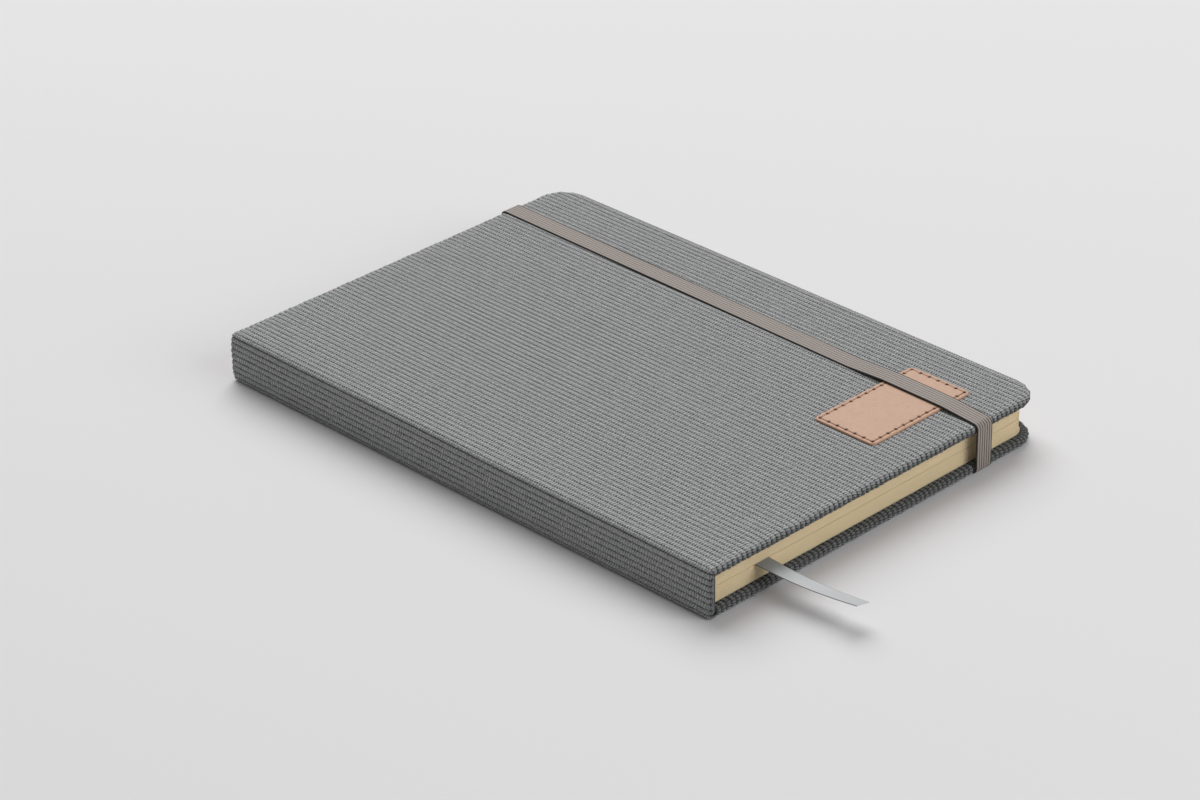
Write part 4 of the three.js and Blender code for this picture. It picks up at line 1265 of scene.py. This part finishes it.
class Elastic(bpy.types.Operator):
    """Makes the elastic closure, from its slit at the tail over the cover to its slit at the head"""

    bl_idname = "notebook.elastic"
    bl_label = "Elastic closure"

    # How far the band presses into the pile
    PRESS = 0.1 * MM
    SIDE_BEND = 1.5 * MM
    FOOT_BEND = 1.9 * MM
    SLIT_BEND = 0.4 * MM
    SLIT_INSET = 20.3 * MM
    SLIT_DEPTH = 1.5 * MM
    # How long the band's way up on to the patch is
    RAMP = 15 * MM
    BLEND_START = 1.2 * MM
    BLEND_END = 15 * MM
    YARN_PITCH = 1.1 * MM
    FACES_PER_RIB = 8
    SIDE_FACES = 6
    SIDE_ROUND = 0.3 * MM
    # Width of the painted shadow along each of the band's edges
    EDGE_SHADOW_WIDTH = 0.32 * MM

    def half_line(self, settings):
        """The middle of the band from the slit to the top of the cover, as (reach, height)."""
        half = settings.thickness / 2
        side = HEAD_EDGE - self.PRESS + half
        top = TOP - self.PRESS + half
        slit = HEAD_EDGE - self.SLIT_INSET
        curl, foot, bend = self.SLIT_BEND, self.FOOT_BEND, self.SIDE_BEND + half
        straight = 0.5 * MM
        under = np.linspace(slit + 2 * MM, side - foot - straight, 12)
        upright = np.linspace(half + foot + straight, top - bend - straight, 22)
        parts = [
            [(slit, self.SLIT_DEPTH), (slit, half + curl)],
            quarter_circle((slit + curl, half + curl), curl, 2, 5)[1:],
            [(y, half) for y in under],
            quarter_circle((side - foot, half + foot), foot, -1, 9),
            [(side, z) for z in upright],
            quarter_circle((side - bend, top - bend), bend, 0, 11),
        ]
        return np.concatenate(parts), side - bend, top

    def line(self, settings):
        """The middle of the whole band, as (y, z)."""
        half, straight, top = self.half_line(settings)
        patch_low, patch_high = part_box("leather_patch")
        ys = np.arange(-straight + MM, straight, MM)
        ramp_low = max(patch_low[1] - self.RAMP, -straight)
        before = np.clip((ys - ramp_low) / (patch_low[1] - ramp_low), 0, 1)
        after = np.clip((patch_high[1] + self.RAMP - ys) / self.RAMP, 0, 1)
        raised = (patch_high[2] - TOP) * np.minimum(before, after)
        flat = np.stack([ys, top + raised], axis=1)
        return np.concatenate([half * [-1, 1], flat, half[::-1]])

    def section(self, spot, settings):
        """The band's ribbed section: across, height and the count of ribs, at each step around."""
        ribs = settings.ribs
        face = ribs * self.FACES_PER_RIB
        # The second half of the way around is the first half, turned about
        turned = spot >= face + self.SIDE_FACES
        spot = np.where(turned, spot - face - self.SIDE_FACES, spot)
        share = np.minimum(spot / face, 1)
        turn = np.clip((spot - face) / self.SIDE_FACES, 0, 1) * math.pi
        flat = settings.width - 2 * self.SIDE_ROUND
        across = (share - 0.5) * flat + self.SIDE_ROUND * np.sin(turn)
        groove = settings.rib_depth * np.abs(np.cos(np.pi * share * ribs)) ** 4
        groove[(share == 0) | (share == 1)] = 0
        height = (settings.thickness / 2 - groove) * np.cos(turn)
        facing = np.where(turned, -1, 1)
        return facing * across, facing * height, np.where(turned, 1 - share, share) * ribs

    def execute(self, context):
        settings = context.scene.notebook_elastic
        centres = self.line(settings)
        rows = len(centres) - 1
        around = 2 * (settings.ribs * self.FACES_PER_RIB + self.SIDE_FACES)
        piece, share_around, share_along = add_grid("elastic_closure", around, rows)
        across, height, rib = self.section(np.rint(share_around * around), settings)
        row = np.rint(share_along * rows).astype(int)
        ahead = directions(centres)[row]
        y = centres[row, 0] - ahead[:, 1] * height
        z = centres[row, 1] + ahead[:, 0] * height
        x = band_middle(centres[row, 0], settings) + across
        place_vertices(piece, np.stack([x, y, z], axis=1))
        write_uv(piece, "braid", rib, lengths_along(centres)[row] / self.YARN_PITCH)
        # Painted shadow along both edges of the band
        rim = np.abs(across) - settings.width / 2 + self.EDGE_SHADOW_WIDTH
        write_attribute(piece, "edge", np.clip(rim / (0.1 * MM), 0, 1))
        # The band's upright parts: stretched, and given painted shade there
        write_attribute(piece, "upright_stretch_and_shade", np.abs(ahead[:, 1]))
        finish_solid(piece, 50, open_ends=True)
        give_material(piece, braid_material(settings))
        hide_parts("elastic_band", "elastic_end_tail", "elastic_end_head")
        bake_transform(piece)
        return {"FINISHED"}


def patch_box(settings):
    """The patch's lowest and highest corner. It is sunk in the pile, so less of it stands up."""
    low, high = node_box("leather_patch")
    high.z = low.z + settings.height
    return low, high


def stitch_places(settings):
    """The patch's holes as (x, y), and the stitches between them as (x, y) and a direction."""
    low, high = (np.array(corner)[:2] for corner in patch_box(settings))
    low += settings.stitch_inset
    high -= settings.stitch_inset
    corners = [low, np.array([high[0], low[1]]), high, np.array([low[0], high[1]])]
    holes = []
    stitches = []
    for start, end in zip(corners, corners[1:] + corners[:1]):
        length = np.linalg.norm(end - start)
        count = round(length / settings.stitch_pitch)
        step = (end - start) / count
        for number in range(count):
            holes.append(start + step * number)
            stitches.append((start + step * (number + 0.5), step))
    return holes, stitches


class Patch(bpy.types.Operator):
    """Makes the blank leather patch with its sunk, punched stitch line"""

    bl_idname = "notebook.patch"
    bl_label = "Leather patch"

    # Rings from the edge inwards, in millimetres: width of the ring, and its rise
    RINGS = (
        (0.12, 0.10), (0.14, 0.05), (0.34, 0.02),
        (0.40, 0.00), (0.14, -0.10), (0.16, -0.08),
        (0.16, 0.08), (0.16, 0.10), (0.25, 0.03),
    )
    EDGE_RINGS = 3
    HOLE_RADIUS = 0.68 * MM
    HOLE_DEPTH = 0.42 * MM
    EDGE_STEP = 0.3 * MM
    # The burnish: a faint border over the stitch line, and a strong rim
    BORDER_WIDTH = 1.55 * MM
    BORDER_FADE = 0.4 * MM
    RIM_WIDTH = 0.2 * MM

    def divide_sides(self, piece, low, high, settings):
        """Cuts the rings and the middle across, finely enough to carry the holes."""
        for axis in (0, 1):
            span = (high - low)[axis] - 2 * settings.corner
            select_where(piece, "EDGE", lambda a, b: abs(a[axis] - b[axis]) > 0.5 * span)
            bpy.ops.mesh.subdivide(number_cuts=round(span / self.EDGE_STEP))

    def punch_holes(self, piece, low, high, settings):
        """Pushes the leather down round each hole of the stitch line."""
        places = vertex_places(piece)
        drop = np.zeros(len(places))
        for hole in stitch_places(settings)[0]:
            away = np.hypot(places[:, 0] - hole[0], places[:, 1] - hole[1]) / self.HOLE_RADIUS
            drop = np.maximum(drop, np.clip(1 - away**2, 0, 1) ** 1.5)
        drop *= places[:, 2] > (low.z + high.z) / 2
        places[:, 2] -= drop * self.HOLE_DEPTH
        place_vertices(piece, places)
        # Marks the holes, which the material fills with painted shade
        write_attribute(piece, "punched", np.clip(2.5 * drop, 0, 1))

    def mark_rubbing(self, piece, low, high):
        """Marks the edge, which is burnished."""
        flat = vertex_places(piece)[:, :2]
        inset = np.minimum(flat - np.array(low)[:2], np.array(high)[:2] - flat).min(axis=1)
        border = np.clip((self.BORDER_WIDTH - inset) / self.BORDER_FADE, 0, 1)
        rim = np.clip(1 - inset / self.RIM_WIDTH, 0, 1)
        write_attribute(piece, "rubbed", 0.15 * border + 0.75 * rim)

    def execute(self, context):
        settings = context.scene.notebook_patch
        low, high = patch_box(settings)
        foot = Vector((high.x, high.y, low.z))
        piece = add_block("leather_label_patch", bpy.ops.mesh.primitive_plane_add, low, foot)
        bpy.ops.mesh.bevel(offset=settings.corner, segments=8, affect="VERTICES")
        select_top_face(piece)
        edge_rise = sum(step for _, step in self.RINGS[: self.EDGE_RINGS]) * MM
        rise = high.z - low.z - edge_rise
        bpy.ops.mesh.extrude_region_move(TRANSFORM_OT_translate={"value": (0, 0, rise)})
        select_top_face(piece)
        for width, step in self.RINGS:
            bpy.ops.mesh.inset(thickness=width * MM, depth=0)
            bpy.ops.transform.translate(value=(0, 0, step * MM))
        self.divide_sides(piece, low, high, settings)
        bpy.ops.object.mode_set(mode="OBJECT")
        self.punch_holes(piece, low, high, settings)
        self.mark_rubbing(piece, low, high)
        finish_solid(piece, 60)
        leather = leather_material(settings)
        dress_piece(piece, leather, "front_cover", "leather_patch")
        return {"FINISHED"}


class Stitching(bpy.types.Operator):
    """Sews the patch: one stitch of twisted thread, modelled once and copied to every hole"""

    bl_idname = "notebook.stitching"
    bl_label = "Stitching"

    SIDES = 8
    STEPS = 10
    # A stitch thins and sinks towards its two holes, and lies a little down in the stitch line
    THINNING = 0.35
    SINK = 0.34 * MM
    LIE = 0.12 * MM

    def first_stitch(self, settings):
        """A short thread along X whose ends go down into the leather."""
        length = settings.stitch_pitch - settings.stitch_gap
        shape = {"vertices": self.SIDES, "radius": settings.thread / 2, "depth": length}
        bpy.ops.object.select_all(action="DESELECT")
        bpy.ops.mesh.primitive_cylinder_add(rotation=(0, math.pi / 2, 0), **shape)
        piece = name_piece("stitch")
        bpy.ops.object.transform_apply(location=False, rotation=True, scale=False)
        bpy.ops.object.mode_set(mode="EDIT")
        select_where(piece, "EDGE", lambda a, b: abs(a.x - b.x) > 0.5 * length)
        bpy.ops.mesh.subdivide(number_cuts=self.STEPS - 1)
        bpy.ops.object.mode_set(mode="OBJECT")
        for vertex in piece.data.vertices:
            share = abs(vertex.co.x) / (length / 2)
            vertex.co.y *= 1 - self.THINNING * share**3
            vertex.co.z *= 1 - self.THINNING * share**3
            vertex.co.z -= self.SINK * share**4
        return piece

    def execute(self, context):
        settings = context.scene.notebook_patch
        height = patch_box(settings)[1].z - self.LIE
        first = self.first_stitch(settings)
        copies = []
        for middle, ahead in stitch_places(settings)[1]:
            copy = copy_piece(first)
            turn = Matrix.Rotation(math.atan2(ahead[1], ahead[0]), 4, "Z")
            copy.data.transform(Matrix.Translation((middle[0], middle[1], height)) @ turn)
            copies.append(copy)
        bpy.data.objects.remove(first)
        select_only(copies[0])
        for copy in copies:
            copy.select_set(True)
        bpy.ops.object.join()
        piece = name_piece("waxed_stitching")
        finish_solid(piece, 60)
        thread = waxed_thread_material(settings)
        dress_piece(piece, thread, "front_cover", "patch_stitching")
        return {"FINISHED"}


class CorduroyCloth(bpy.types.Operator):
    """Makes the corduroy that the cover and spine cloths share"""

    bl_idname = "notebook.corduroy"
    bl_label = "Corduroy"

    def execute(self, context):
        context.scene.notebook_corduroy = corduroy_material(context.scene.notebook_cloth)
        return {"FINISHED"}


PIECES = (
    Stage,
    Ribbon,
    CorduroyCloth,
    CoverCloth,
    SpineCloth,
    Signatures,
    InsidePieces,
    Elastic,
    Patch,
    Stitching,
)

SETTINGS = {
    "notebook_cloth": NotebookClothSettings,
    "notebook_paper": NotebookPaperSettings,
    "notebook_elastic": NotebookElasticSettings,
    "notebook_ribbon": NotebookRibbonSettings,
    "notebook_patch": NotebookPatchSettings,
    "notebook_stage": NotebookStageSettings,
}


class NotebookPanel(bpy.types.Panel):
    """Lists the pieces of the notebook and their settings"""

    bl_idname = "VIEW3D_PT_notebook"
    bl_label = "Corduroy Notebook"
    bl_space_type = "VIEW_3D"
    bl_region_type = "UI"
    bl_category = "Notebook"

    def draw(self, context):
        layout = self.layout
        for piece in PIECES:
            layout.operator(piece.bl_idname, text=piece.bl_label)
        for name, group in SETTINGS.items():
            box = layout.box()
            box.label(text=group.__doc__)
            for key in group.__annotations__:
                box.prop(getattr(context.scene, name), key)


def register():
    """Registers the settings, the operators and the panel."""
    for name, group in SETTINGS.items():
        bpy.utils.register_class(group)
        setattr(bpy.types.Scene, name, bpy.props.PointerProperty(type=group))
    bpy.types.Scene.notebook_corduroy = bpy.props.PointerProperty(
        name="Corduroy", description="The cloth of the case", type=bpy.types.Material
    )
    for piece in PIECES:
        bpy.utils.register_class(piece)
    bpy.utils.register_class(NotebookPanel)


def unregister():
    """Takes them away again."""
    bpy.utils.unregister_class(NotebookPanel)
    for piece in reversed(PIECES):
        bpy.utils.unregister_class(piece)
    del bpy.types.Scene.notebook_corduroy
    for name, group in SETTINGS.items():
        delattr(bpy.types.Scene, name)
        bpy.utils.unregister_class(group)


def main():
    """Makes the whole notebook."""
    register()
    for piece in PIECES:
        family, name = piece.bl_idname.split(".")
        getattr(getattr(bpy.ops, family), name)()


if __name__ == "__main__":
    main()
